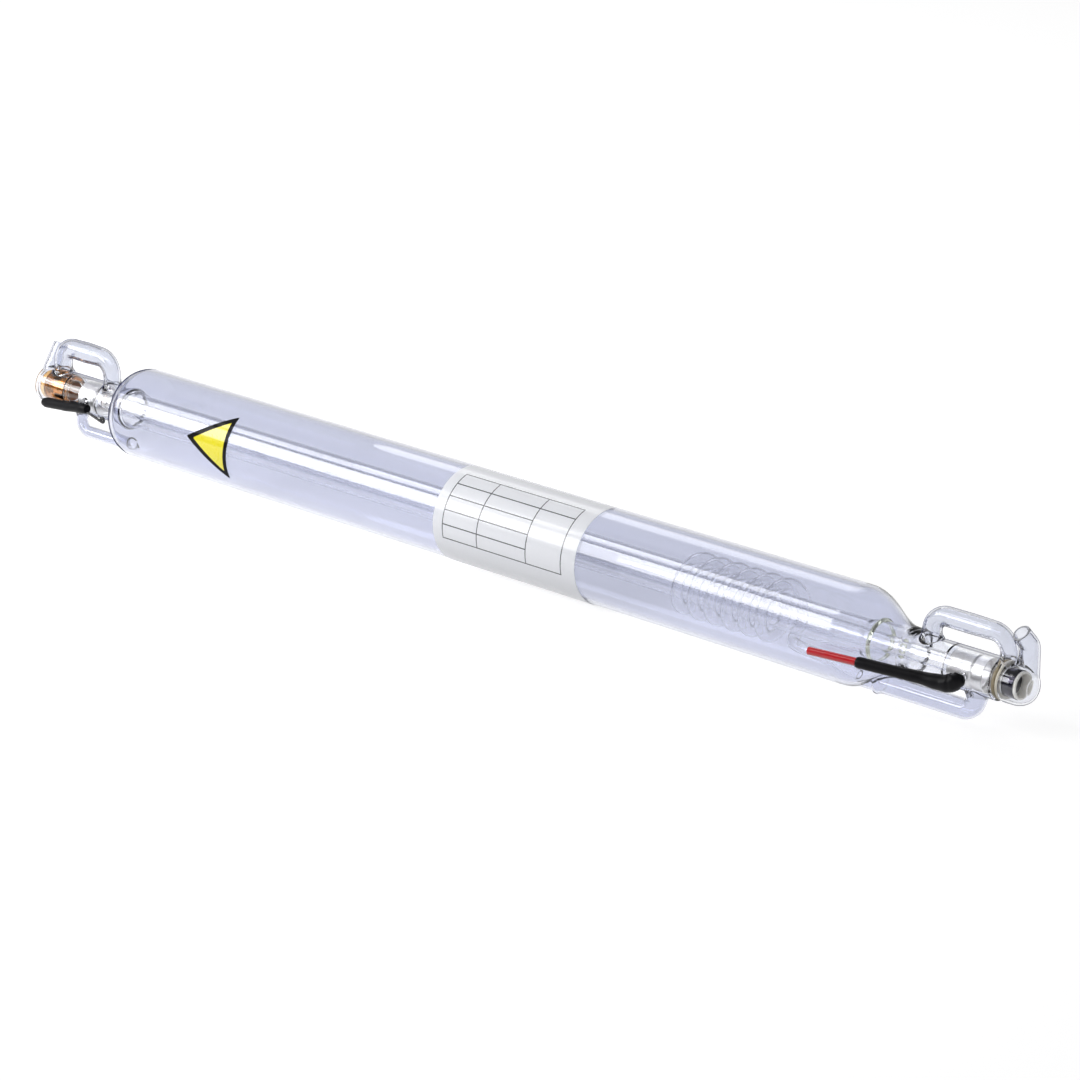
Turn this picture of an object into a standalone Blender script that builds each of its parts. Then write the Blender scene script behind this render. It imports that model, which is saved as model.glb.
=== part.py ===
"""Sealed glass CO2 laser tube, 50 mm class.

A gas jacket surrounds a water jacket, which surrounds the discharge tube. Each end has an electrode
chamber, a mirror and a water cooled cap. Units are metres. +X runs along the beam from the output
mirror to the rear mirror, +Z is up, and the origin is under the middle of the tube, on the surface
that its gas jacket lies on. An inset is a distance along X from the nearer end of the tube.
"""

from math import acos, cos, pi, radians, sin, sqrt, tan

import bmesh
import bpy
from mathutils import Matrix, Vector

# Whole tube
OVERALL_LENGTH = 0.694
CLEARANCE = 0.0003  # between pieces that are fused, glued or wound on the real tube

# Gas jacket
JACKET_RADIUS = 0.025
JACKET_WALL = 0.0018
JACKET_SIDES = 40
JACKET_OUTPUT_INSET = 0.0730
JACKET_SHOULDER = 0.0120
JACKET_REAR_INSET = 0.0710
JACKET_TAPER = 0.0330

# Water jacket, whose two necks stand out of the gas jacket
WATER_RADIUS = 0.0090
WATER_WALL = 0.0012
WATER_OUTPUT_INSET = 0.0513
WATER_REAR_INSET = 0.0450
NECK_RADIUS = 0.0103
NECK_FLARE = 0.0070  # length over which a neck narrows to the water jacket
OUTPUT_NECK_REACH = 0.0052  # how far it runs on inside the gas jacket
REAR_NECK_REACH = 0.0130  # past the start of the taper
NECK_SIDES = 28
INNER_SIDES = 24  # of the rings and discs inside the ends
SEAM_RING_WIDTH = 0.0024
SEAM_RING_HEIGHT = 0.0013
REAR_SEAM_SETBACK = 0.0006  # from the inner end of the rear neck

# Discharge tube
DISCHARGE_RADIUS = 0.0045
DISCHARGE_WALL = 0.0010
DISCHARGE_REACH = 0.0030  # how far it stands into each electrode chamber

# Electrode chambers
CHAMBER_WALL = 0.0011
CHAMBER_FLANGE = 0.0012
CATHODE_CHAMBER_LENGTH = 0.0270
ANODE_CHAMBER_LENGTH = 0.0268
BEAM_HOLE_RADIUS = 0.0055

# Electrodes and their lead pins
ELECTRODE_WALL = 0.0005
ELECTRODE_ROOM = 0.0006  # all round, inside the chamber
ELECTRODE_SETBACK = 0.0012  # from the end of the water jacket
CATHODE_LENGTH = 0.0130
ANODE_LENGTH = 0.0205
GROOVE_PLACE = 0.0138  # along the anode
GROOVE_WIDTH = 0.0018
GROOVE_DEPTH = 0.0008
PIN_RADIUS = 0.0007
CATHODE_PIN_PLACE = 0.0055  # along the cathode
CATHODE_PIN_REACH = 0.0040  # out of the glass
ANODE_PIN_PLACE = 0.0102
ANODE_PIN_REACH = 0.0062
BEAD_RADIUS = 0.0026
BEAD_HEIGHT = 0.0011

# Output cap and mirror
OUTPUT_CAP_LENGTH = 0.0240
CAP_WALL = 0.0011
CAP_CORNER = 0.0022
CAP_FRONT = 0.0015
CAP_LIP = 0.0041  # width of the cap's front, from its rim to the aperture
RETAINER_LENGTH = 0.0024
COUPLER_THICKNESS = 0.0027
HOLDER_ROOM = 0.0006  # water gap between holder and cap
HOLDER_WALL = 0.0026

# Rear cap and mirror
REAR_CAP_RADIUS = 0.0098
REAR_DOME_LENGTH = 0.0085
REAR_DOME_FLAT = 0.0042  # radius of the dome's flat end
DOME_STEPS = 5
REAR_RING_WIDTH = 0.0018
REAR_RING_BORE = 0.0066
REFLECTOR_ROOM = 0.0016
REFLECTOR_THICKNESS = 0.0020
CELL_STEP = 0.0003
CELL_WALL = 0.0011
CELL_LENGTH = 0.0056

# Water bridges, each from a cap to the neck beside it
BRIDGE_WALL = 0.0011
BRIDGE_SIDES = 12
BRIDGE_BEND = 0.0094
OUTPUT_BRIDGE_RADII = (0.0049, 0.0060, 0.0045)  # at the cap, on top, at the neck
OUTPUT_BRIDGE_HEIGHT = 0.0250
OUTPUT_BRIDGE_CAP_INSET = 0.0143
OUTPUT_BRIDGE_NECK_INSET = 0.0568
OUTPUT_BRIDGE_SPLAY = 0.0012
REAR_BRIDGE_RADII = (0.0042, 0.0049, 0.0047)
REAR_BRIDGE_HEIGHT = 0.0226
REAR_BRIDGE_CAP_INSET = 0.0141
REAR_BRIDGE_NECK_INSET = 0.0595
REAR_BRIDGE_SPLAY = 0.0

# Hose stubs, one on each cap
STUB_WALL = 0.0011
STUB_SIDES = 12
STUB_BEND = 0.0050
# Points of (inset, along Y, height over the axis)
OUTPUT_STUB_POINTS = ((0.0044, -0.0024, 0.0), (0.0044, -0.0008, 0.0090), (0.0044, 0.0076, 0.0222))
OUTPUT_STUB_RADII = (0.0046, 0.0043, 0.0043)
REAR_STUB_POINTS = ((0.0052, 0.0034, 0.0), (0.0052, 0.0034, 0.0190), (0.0070, -0.0018, 0.0262))
REAR_STUB_RADII = (0.0048, 0.0048, 0.0045)

# Gas links, each from a chamber down and into the gas jacket
LINK_ANGLE = 170.0  # degrees round the axis, from the top towards the leads
LINK_SIDES = 12
LINK_BEND = 0.0070
CATHODE_LINK_RADIUS = 0.0033
CATHODE_LINK_WALL = 0.0008
CATHODE_LINK_INSET = 0.0320
CATHODE_LINK_DEPTH = 0.0050  # of its centreline inside the jacket's radius
ANODE_LINK_RADIUS = 0.0050
ANODE_LINK_WALL = 0.0011
ANODE_LINK_INSET = 0.0304
ANODE_LINK_DEPTH = 0.0061

# Gas return coil, wound round the water jacket near the anode
COIL_TUBE_RADIUS = 0.0030
COIL_TUBE_WALL = 0.0008
COIL_ROOM = 0.0017  # between the winding and the water jacket
COIL_PITCH = 0.01074
COIL_TURNS = 6.15
COIL_LAST_ANGLE = 185.0  # degrees round the axis where the winding ends
COIL_END_INSET = 0.1442
COIL_STEPS = 13  # rings of corners in a turn
COIL_SIDES = 7
# Run-out, as points of (past the winding, distance from the axis, degrees round it)
RUN_OUT_POINTS = ((0.0085, 0.0141, 163.0), (0.0220, 0.0151, 164.0), (0.0360, 0.0173, 168.0))
RUN_OUT_STEPS = 3  # between two points

# Label and sticker
PAPER = 0.0002
LABEL_OUTPUT_INSET = 0.3315
LABEL_LENGTH = 0.0985
LABEL_TOP = -11.0  # degrees round the jacket from the top, towards the leads
LABEL_BOTTOM = 157.0
STICKER_SIDE = 0.0365
STICKER_TRIM = 0.0012
STICKER_INSET = 0.1653
STICKER_ANGLE = 76.0

# Anode lead, as points of (inset from the rear end, along Y, height over the axis)
SLEEVE_SIDES = 12
ANODE_SLEEVE_POINTS = (
    (0.0312, -0.0150, 0.0034), (0.0318, -0.0166, 0.0006), (0.0352, -0.0176, -0.0016),
    (0.0412, -0.0186, -0.0022), (0.0505, -0.0203, -0.0019), (0.0650, -0.0233, -0.0015),
    (0.0825, -0.0265, -0.0011),
)
ANODE_SLEEVE_RADII = (0.0026, 0.0045, 0.0046, 0.0040, 0.0033, 0.0030, 0.0030)
HV_WIRE_RADIUS = 0.0020
HV_WIRE_POINTS = (
    (0.0735, -0.0249, -0.0013), (0.0825, -0.0265, -0.0011), (0.0905, -0.0279, -0.0010),
    (0.0990, -0.0293, -0.0009), (0.1083, -0.0308, -0.0009),
)

# Cathode lead, with insets from the output end
CATHODE_SLEEVE_POINTS = (
    (0.0505, -0.0139, -0.0018), (0.0475, -0.0139, -0.0020), (0.0400, -0.0137, -0.0028),
    (0.0310, -0.0135, -0.0040), (0.0155, -0.0131, -0.0056), (0.0120, -0.0130, -0.0060),
)
CATHODE_SLEEVE_RADII = (0.0024, 0.0030, 0.0030, 0.0030, 0.0029, 0.0020)
TAIL_RADIUS = 0.0006
TAIL_ROOT = (0.0480, -0.0142, -0.0028)
TAIL_BEND = (0.0512, -0.0145, -0.0034)
TAIL_END = (0.0638, -0.0150, -0.0062)
EYE_RADIUS = 0.0013
EYE_STEPS = 12

SHARP_ANGLE = radians(35.0)  # a steeper edge than this is shaded as an edge

AXIS_HEIGHT = JACKET_RADIUS * cos(pi / JACKET_SIDES)
OUTPUT_END = -OVERALL_LENGTH / 2
REAR_END = OVERALL_LENGTH / 2
CATHODE_WATER_END = OUTPUT_END + WATER_OUTPUT_INSET
ANODE_WATER_END = REAR_END - WATER_REAR_INSET
CATHODE_FLANGE = CATHODE_WATER_END - CLEARANCE - CATHODE_CHAMBER_LENGTH
ANODE_FLANGE = ANODE_WATER_END + CLEARANCE + ANODE_CHAMBER_LENGTH
JACKET_START = OUTPUT_END + JACKET_OUTPUT_INSET
JACKET_TIP = REAR_END - JACKET_REAR_INSET
TAPER_START = JACKET_TIP - JACKET_TAPER
OUTPUT_NECK_END = JACKET_START + OUTPUT_NECK_REACH
REAR_NECK_END = TAPER_START + REAR_NECK_REACH
ELECTRODE_RADIUS = NECK_RADIUS - CHAMBER_WALL - ELECTRODE_ROOM
HOLDER_RADIUS = NECK_RADIUS - CAP_WALL - HOLDER_ROOM
APERTURE_RADIUS = NECK_RADIUS - CAP_LIP
REFLECTOR_RADIUS = REAR_CAP_RADIUS - CAP_WALL - REFLECTOR_ROOM
REAR_CAP_START = ANODE_FLANGE + 2 * (REAR_RING_WIDTH + CLEARANCE) + CLEARANCE
COIL_RADIUS = WATER_RADIUS + COIL_ROOM + COIL_TUBE_RADIUS


# Materials

def material(name, colour, roughness, metallic=0.0, transmission=0.0):
    made = bpy.data.materials.new(name)
    made.use_nodes = True
    shader = made.node_tree.nodes["Principled BSDF"]
    shader.inputs["Base Color"].default_value = (*colour, 1.0)
    shader.inputs["Roughness"].default_value = roughness
    shader.inputs["Metallic"].default_value = metallic
    shader.inputs["Transmission Weight"].default_value = transmission
    made.diffuse_color = (*colour, 1.0)
    return made


def glass(name, colour=(0.86, 0.88, 0.94)):
    return material(name + "_glass", colour, 0.02, transmission=0.95)


def metal(name, colour=(0.75, 0.74, 0.72), roughness=0.25):
    return material(name + "_metal", colour, roughness, metallic=1.0)


# Routes and outlines

def axis_point(x, side=0.0, up=0.0):
    return Vector((x, side, AXIS_HEIGHT + up))


def round_axis(x, radius, angle):
    """The point at a radius and at degrees round the axis, from the top towards the leads."""
    return axis_point(x, -radius * sin(radians(angle)), radius * cos(radians(angle)))


def arc(centre, radius, first, last, steps):
    """Points of (x, radius) on a circle, between two angles in degrees."""
    angles = [radians(first + (last - first) * step / steps) for step in range(steps + 1)]
    return [(centre[0] + radius * cos(angle), centre[1] + radius * sin(angle)) for angle in angles]


def wave(start, end, first, last, steps):
    """Points of a smooth S from one radius to another."""
    shares = [step / steps for step in range(steps + 1)]
    middle, swing = (first + last) / 2, (first - last) / 2
    return [(start + (end - start) * share, middle + swing * cos(pi * share)) for share in shares]


def rounded(corners, bend, steps=4):
    """A route with its inner corners rounded to one radius."""
    route = [Vector(corners[0])]
    for before, corner, after in zip(corners, corners[1:], corners[2:]):
        back = (before - corner).normalized()
        onward = (after - corner).normalized()
        half = back.angle(onward) / 2
        centre = corner + (back + onward).normalized() * (bend / sin(half))
        first = corner + back * (bend / tan(half)) - centre
        last = corner + onward * (bend / tan(half)) - centre
        sweep = pi - 2 * half
        for step in range(steps + 1):
            share = step / steps
            mixed = first * sin((1 - share) * sweep) + last * sin(share * sweep)
            route.append(centre + mixed / sin(sweep))
    route.append(Vector(corners[-1]))
    return route


def smooth_route(points, steps):
    """A curve through the points, with steps between each pair."""
    route = []
    for index in range(len(points) - 1):
        start, end = points[index], points[index + 1]
        before = points[index - 1] if index else start
        after = points[index + 2] if index + 2 < len(points) else end
        for step in range(steps):
            t = step / steps
            leaving, arriving = (end - before) / 2, (after - start) / 2
            route.append(start * (2 * t**3 - 3 * t**2 + 1) + leaving * (t**3 - 2 * t**2 + t)
                         + end * (3 * t**2 - 2 * t**3) + arriving * (t**3 - t**2))
    route.append(points[-1])
    return route


def shared_radii(route, stops):
    """A radius for each point of a route, running evenly from stop to stop."""
    lengths = [0.0]
    for before, after in zip(route, route[1:]):
        lengths.append(lengths[-1] + (after - before).length)
    radii = []
    for length in lengths:
        place = length / lengths[-1] * (len(stops) - 1)
        index = min(int(place), len(stops) - 2)
        radii.append(stops[index] + (stops[index + 1] - stops[index]) * (place - index))
    return radii


# Solids

def finish(bm, name, look):
    """Turns a closed bmesh into a named, smooth shaded object."""
    bmesh.ops.remove_doubles(bm, verts=bm.verts, dist=1e-6)
    bmesh.ops.recalc_face_normals(bm, faces=bm.faces)
    mesh = bpy.data.meshes.new(name)
    bm.to_mesh(mesh)
    bm.free()
    mesh.shade_smooth()
    mesh.set_sharp_from_angle(angle=SHARP_ANGLE)
    if look is not None:
        mesh.materials.append(look)
    made = bpy.data.objects.new(name, mesh)
    bpy.context.collection.objects.link(made)
    return made


def turn(name, outline, look, sides=NECK_SIDES):
    """Spins a closed outline of (x, radius) points round the tube's axis."""
    bm = bmesh.new()
    start = Matrix.Rotation(pi / sides, 4, "X")
    corners = [bm.verts.new(start @ Vector((x, 0, -radius))) for x, radius in outline]
    edges = []
    for index, (before, after) in enumerate(zip(outline, outline[1:] + outline[:1])):
        if before[1] > 0 or after[1] > 0:
            edges.append(bm.edges.new((corners[index], corners[(index + 1) % len(corners)])))
    bmesh.ops.spin(bm, geom=corners + edges, angle=2 * pi, steps=sides, use_merge=True,
                   axis=(1, 0, 0), cent=(0, 0, 0))
    bmesh.ops.translate(bm, verts=bm.verts, vec=(0, 0, AXIS_HEIGHT))
    return finish(bm, name, look)


def ring(name, start, end, outer, inner, look, sides=INNER_SIDES):
    return turn(name, [(start, outer), (end, outer), (end, inner), (start, inner)], look, sides)


def disc(name, start, end, radius, look):
    return turn(name, [(start, 0.0), (start, radius), (end, radius), (end, 0.0)], look, INNER_SIDES)


def loops_along(bm, route, radii, sides):
    """A loop of corners round each point of a route, without twist."""
    side = (route[1] - route[0]).orthogonal().normalized()
    loops = []
    for index, (point, radius) in enumerate(zip(route, radii)):
        back = point - route[index - 1] if index else route[1] - route[0]
        onward = route[index + 1] - point if index + 1 < len(route) else back
        tangent = (back.normalized() + onward.normalized()).normalized()
        side = (side - tangent * side.dot(tangent)).normalized()
        up = tangent.cross(side)
        turns = [2 * pi * step / sides for step in range(sides)]
        loops.append([bm.verts.new(point + (side * cos(a) + up * sin(a)) * radius) for a in turns])
    return loops


def skin(bm, loops):
    for loop, following in zip(loops, loops[1:]):
        for index, corner in enumerate(loop):
            after = (index + 1) % len(loop)
            bm.faces.new((corner, loop[after], following[after], following[index]))


def tube(name, route, radii, wall, look, sides):
    """An open tube along a route."""
    bm = bmesh.new()
    outer = loops_along(bm, route, radii, sides)
    inner = loops_along(bm, route, [radius - wall for radius in radii], sides)
    skin(bm, outer)
    skin(bm, inner)
    skin(bm, [outer[0], inner[0]])
    skin(bm, [outer[-1], inner[-1]])
    return finish(bm, name, look)


def rod(name, route, radii, look, sides):
    """A filled rod along a route."""
    bm = bmesh.new()
    loops = loops_along(bm, route, radii, sides)
    skin(bm, loops)
    bm.faces.new(loops[0])
    bm.faces.new(loops[-1])
    return finish(bm, name, look)


# Cutters

def as_cutter(made):
    made.hide_render = True
    made.display_type = "WIRE"
    return made


def bore(name, start, end, radius, sides=16):
    return as_cutter(rod(name, [start, end], [radius, radius], None, sides))


def envelope(name, outline, sides=NECK_SIDES):
    """The solid within a turned outline, which side tubes are coped to."""
    closed = [(outline[0][0], 0.0), *outline, (outline[-1][0], 0.0)]
    return as_cutter(turn(name, closed, None, sides))


def cut(target, tool):
    step = target.modifiers.new("cut_" + tool.name, "BOOLEAN")
    step.operation = "DIFFERENCE"
    step.solver = "EXACT"
    step.object = tool


# Gas jacket and the pieces inside it

def jacket_outline(grow=0.0):
    """The jacket's outside, or an outline that stands off it by grow."""
    corner = (JACKET_START + JACKET_SHOULDER, JACKET_RADIUS - JACKET_SHOULDER)
    hole = NECK_RADIUS + CLEARANCE
    outline = [(JACKET_START - grow, hole)]
    outline += arc(corner, JACKET_SHOULDER + grow, 180, 90, 5)
    tip = NECK_RADIUS + JACKET_WALL + CLEARANCE + grow
    outline += wave(TAPER_START, JACKET_TIP, JACKET_RADIUS + grow, max(tip, hole), 6)
    if tip > hole:
        outline.append((JACKET_TIP, hole))
    return outline


def water_outline(shrink=0.0):
    start = CATHODE_WATER_END + shrink
    end = ANODE_WATER_END - shrink
    neck, middle = NECK_RADIUS - shrink, WATER_RADIUS - shrink
    seal = DISCHARGE_RADIUS + CLEARANCE
    outline = [(start, seal), (start, neck)]
    outline += wave(OUTPUT_NECK_END, OUTPUT_NECK_END + NECK_FLARE, neck, middle, 3)
    outline += wave(REAR_NECK_END - NECK_FLARE, REAR_NECK_END, middle, neck, 3)
    outline += [(end, neck), (end, seal)]
    return outline


def make_seam_ring(name, start, colour):
    """A bead of glass round a neck, where the gas jacket's end is sealed to it."""
    seat = NECK_RADIUS + CLEARANCE
    crown = seat + SEAM_RING_HEIGHT
    bead = [(start, seat), (start + SEAM_RING_WIDTH * 0.25, crown),
            (start + SEAM_RING_WIDTH * 0.75, crown), (start + SEAM_RING_WIDTH, seat)]
    turn(name, bead, glass(name, colour))


def make_jackets():
    outside, inside = jacket_outline(), jacket_outline(-JACKET_WALL)
    jacket = turn("outer_jacket", outside + inside[::-1], glass("outer_jacket"), JACKET_SIDES)
    outside, inside = water_outline(), water_outline(WATER_WALL)
    water = turn("water_jacket", outside + inside[::-1], glass("water_jacket"))
    ring("discharge_tube", CATHODE_WATER_END - DISCHARGE_REACH, ANODE_WATER_END + DISCHARGE_REACH,
         DISCHARGE_RADIUS, DISCHARGE_RADIUS - DISCHARGE_WALL, glass("discharge_tube"), 20)
    make_seam_ring("output_seam_ring", JACKET_START + JACKET_WALL + CLEARANCE, (0.84, 0.86, 0.90))
    make_seam_ring("rear_seam_ring", REAR_NECK_END + REAR_SEAM_SETBACK, (0.86, 0.88, 0.74))
    return jacket, water


def make_coil(mouth_radius):
    """The helical gas return and its run-out to the anode link's mouth, at a radius in the taper."""
    end = REAR_END - COIL_END_INSET
    count = round(COIL_TURNS * COIL_STEPS)
    route = []
    for step in range(count + 1):
        turns = COIL_TURNS * (step / count - 1)
        route.append(round_axis(end + COIL_PITCH * turns, COIL_RADIUS, COIL_LAST_ANGLE - 360 * turns))
    for step in range(COIL_STEPS // 2):
        inward = (COIL_ROOM - CLEARANCE) * (1 - step / (COIL_STEPS // 2))
        route[step] -= (route[step] - axis_point(route[step].x)).normalized() * inward
    wide, narrow = JACKET_RADIUS - JACKET_WALL, NECK_RADIUS + CLEARANCE
    mouth = mouth_radius + COIL_TUBE_RADIUS + 2 * CLEARANCE
    share = acos((2 * mouth - wide - narrow) / (wide - narrow)) / pi
    stops = route[-2:]
    stops += [round_axis(end + past, radius, angle) for past, radius, angle in RUN_OUT_POINTS]
    stops.append(round_axis(TAPER_START + share * JACKET_TAPER, mouth_radius, LINK_ANGLE))
    route[-2:] = smooth_route(stops, RUN_OUT_STEPS)[RUN_OUT_STEPS - 1:]
    tube("gas_return_coil", route, [COIL_TUBE_RADIUS] * len(route), COIL_TUBE_WALL,
         glass("gas_return_coil"), COIL_SIDES)


# Electrode chambers

def make_chamber(name, water_end, outward, length):
    """A glass chamber outwards from the end of the water jacket, flanged for the mirror."""
    near = water_end + outward * CLEARANCE
    far = near + outward * length
    flange = far - outward * CHAMBER_FLANGE
    inner = NECK_RADIUS - CHAMBER_WALL
    outline = [(near, NECK_RADIUS), (far, NECK_RADIUS), (far, BEAM_HOLE_RADIUS),
               (flange, BEAM_HOLE_RADIUS), (flange, inner), (near, inner)]
    return turn(name, outline, glass(name))


def make_electrode(name, water_end, outward, length, grooved):
    """A thin metal cylinder, with a rolled groove round the anode."""
    near = water_end + outward * ELECTRODE_SETBACK
    rim = [(0.0, 0.0), (length, 0.0)]
    if grooved:
        half = GROOVE_WIDTH / 2
        rim[1:1] = [(GROOVE_PLACE - half, 0.0), (GROOVE_PLACE, GROOVE_DEPTH), (GROOVE_PLACE + half, 0.0)]
    outside = [(near + outward * along, ELECTRODE_RADIUS - deep) for along, deep in rim]
    inside = [(x, radius - ELECTRODE_WALL) for x, radius in outside]
    return turn(name, outside + inside[::-1], metal(name), INNER_SIDES)


def make_pin(side, body, x, reach):
    """A lead pin through the front of a chamber, and the glass bead that seals it. Returns the
    cutters that clear the two, and the bead."""
    tip = axis_point(x, -NECK_RADIUS - reach)
    root = axis_point(x, -ELECTRODE_RADIUS - CLEARANCE)
    rod(side + "_pin", [root, tip], [PIN_RADIUS] * 2, metal(side + "_pin"), 8)
    past = tip - Vector((0, CLEARANCE, 0))
    hole = bore(side + "_pin_hole", axis_point(x, -ELECTRODE_RADIUS), past, PIN_RADIUS + CLEARANCE, 12)
    cut(body, hole)
    foot = axis_point(x, -NECK_RADIUS + BEAD_RADIUS)
    middle = axis_point(x, -NECK_RADIUS - BEAD_HEIGHT * 0.4)
    top = axis_point(x, -NECK_RADIUS - BEAD_HEIGHT)
    bead = rod(side + "_pin_bead", [foot, middle, top], [BEAD_RADIUS, BEAD_RADIUS, BEAD_RADIUS * 0.6],
               glass(side + "_pin_bead"), 12)
    cut(bead, hole)
    room = bore(side + "_bead_room", foot, top - Vector((0, CLEARANCE, 0)), BEAD_RADIUS + CLEARANCE, 12)
    return (hole, room), bead


# Caps and mirrors

def output_cap_outline(grow=0.0):
    corner = (OUTPUT_END + CAP_CORNER, NECK_RADIUS - CAP_CORNER)
    return arc(corner, CAP_CORNER + grow, 180, 90, 3)


def make_output_end():
    """The output cap, and inside it the ring that clamps the coupler, the coupler and its holder."""
    end = OUTPUT_END + OUTPUT_CAP_LENGTH
    inner = NECK_RADIUS - CAP_WALL
    front = OUTPUT_END + CAP_FRONT
    outline = [(OUTPUT_END, APERTURE_RADIUS), *output_cap_outline(), (end, NECK_RADIUS), (end, inner),
               (front + CAP_WALL, inner), (front, inner - CAP_WALL / 2), (front, APERTURE_RADIUS)]
    cap = turn("output_cap", outline, glass("output_cap"))
    start = front + CLEARANCE
    ring("coupler_retainer", start, start + RETAINER_LENGTH, HOLDER_RADIUS - CAP_WALL / 2,
         APERTURE_RADIUS, metal("coupler_retainer", (0.82, 0.52, 0.30)))
    start += RETAINER_LENGTH + CLEARANCE
    amber = material("output_coupler_amber", (0.80, 0.30, 0.06), 0.1, transmission=0.4)
    disc("output_coupler", start, start + COUPLER_THICKNESS, HOLDER_RADIUS - CLEARANCE, amber)
    start += COUPLER_THICKNESS + CLEARANCE
    ring("output_mirror_holder", start, CATHODE_FLANGE - CLEARANCE, HOLDER_RADIUS,
         HOLDER_RADIUS - HOLDER_WALL, metal("output_mirror_holder", (0.78, 0.45, 0.24)))
    return cap


def rear_cap_outline(grow=0.0):
    dome = REAR_END - REAR_DOME_LENGTH
    radius, end = REAR_CAP_RADIUS + grow, REAR_END + grow
    outline = [(REAR_CAP_START, radius)]
    for step in range(DOME_STEPS + 1):
        angle = pi / 2 * step / DOME_STEPS
        narrowing = (radius - REAR_DOME_FLAT) * (1 - cos(angle))
        outline.append((dome + (end - dome) * sin(angle), radius - narrowing))
    return outline


def make_rear_end():
    """Two seal rings, the total reflector and its cell, and the domed cap over them."""
    start = ANODE_FLANGE + CLEARANCE
    for name, colour in (("rear_seal_inner", (0.33, 0.25, 0.16)), ("rear_seal_outer", (0.72, 0.66, 0.55))):
        look = material(name + "_resin", colour, 0.35)
        ring(name, start, start + REAR_RING_WIDTH, REAR_CAP_RADIUS - CLEARANCE, REAR_RING_BORE, look)
        start += REAR_RING_WIDTH + CLEARANCE
    end = start + REFLECTOR_THICKNESS
    disc("total_reflector", start, end, REFLECTOR_RADIUS, metal("total_reflector", (0.1, 0.1, 0.12), 0.12))
    start = end + CLEARANCE
    cell = REFLECTOR_RADIUS - CELL_STEP
    ring("reflector_cell", start, start + CELL_LENGTH, cell, cell - CELL_WALL,
         material("reflector_cell_ceramic", (0.78, 0.74, 0.66), 0.3))
    outside, inside = rear_cap_outline(), rear_cap_outline(-CAP_WALL)
    outline = [*outside, (REAR_END, 0.0), (REAR_END - CAP_WALL, 0.0), *inside[::-1]]
    return turn("rear_cap", outline, glass("rear_cap"))


# Side tubes

def make_bridge(name, end, inward, sizes, walls):
    """A water bridge: up from a cap, along and down to the neck. sizes are its radii, height, two
    insets and splay, and walls are the cap and the neck, which it opens into."""
    radii, height, cap_inset, neck_inset, splay = sizes
    cap_x, neck_x = end + inward * cap_inset, end + inward * neck_inset
    corners = [axis_point(cap_x), axis_point(cap_x + inward * splay, 0, height),
               axis_point(neck_x - inward * splay, 0, height), axis_point(neck_x)]
    route = rounded(corners, BRIDGE_BEND)
    made = tube(name, route, shared_radii(route, radii), BRIDGE_WALL, glass(name), BRIDGE_SIDES)
    for wall, x, radius, end_name in ((walls[0], cap_x, radii[0], "_cap_bore"),
                                      (walls[1], neck_x, radii[-1], "_neck_bore")):
        top = axis_point(x, 0, NECK_RADIUS * 1.4)
        cut(wall, bore(name + end_name, axis_point(x), top, radius - BRIDGE_WALL))
    return made


def make_stub(name, corners, radii, cap):
    """A hose stub that rises from a cap and leans over."""
    route = rounded(corners, STUB_BEND, 3)
    made = tube(name, route, shared_radii(route, radii), STUB_WALL, glass(name), STUB_SIDES)
    cut(cap, bore(name + "_bore", corners[0], corners[1], radii[0] - STUB_WALL, STUB_SIDES))
    return made


def make_link(name, x, inward, radius, wall, depth, chamber, jacket):
    """A gas link: down from a chamber, then along into the gas jacket."""
    drop = JACKET_RADIUS - depth
    inside = JACKET_START + JACKET_SHOULDER if inward > 0 else TAPER_START
    turn_point = round_axis(x, drop, LINK_ANGLE)
    corners = [axis_point(x), turn_point, round_axis(inside, drop, LINK_ANGLE)]
    route = rounded(corners, LINK_BEND)
    made = tube(name, route, [radius] * len(route), wall, glass(name), LINK_SIDES)
    out = round_axis(x, NECK_RADIUS * 1.4, LINK_ANGLE)
    cut(chamber, bore(name + "_chamber_bore", corners[0], out, radius - wall))
    cut(jacket, bore(name + "_jacket_bore", turn_point, corners[2], radius - wall, LINK_SIDES))
    return made


# Label and sticker

def facet_radius(angle, stand_off):
    """The distance from the axis to the jacket's facets at an angle, with a stand-off."""
    facet = 360 / JACKET_SIDES
    across = (angle + facet / 2) % facet - facet / 2
    return (JACKET_RADIUS + stand_off) * cos(pi / JACKET_SIDES) / cos(radians(across))


def wrap(name, rows, look):
    """A thin sheet on the jacket, from rows of (angle, first x, last x)."""
    bm = bmesh.new()
    loops = []
    for angle, first, last in rows:
        inner, outer = facet_radius(angle, CLEARANCE), facet_radius(angle, CLEARANCE + PAPER)
        places = ((first, inner), (last, inner), (last, outer), (first, outer))
        loops.append([bm.verts.new(round_axis(x, radius, angle)) for x, radius in places])
    skin(bm, loops)
    bm.faces.new(loops[0])
    bm.faces.new(loops[-1])
    return finish(bm, name, look)


def facet_edges(first, last):
    """The angles of the jacket's edges between two angles, and those two."""
    facet = 360 / JACKET_SIDES
    edges = [(index + 0.5) * facet for index in range(-JACKET_SIDES, JACKET_SIDES)]
    return [first, *(edge for edge in edges if first + 1 < edge < last - 1), last]


def make_label():
    start = OUTPUT_END + LABEL_OUTPUT_INSET
    rows = [(angle, start, start + LABEL_LENGTH) for angle in facet_edges(LABEL_TOP, LABEL_BOTTOM)]
    wrap("label", rows, material("label_paper", (0.86, 0.87, 0.90), 0.5))


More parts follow.
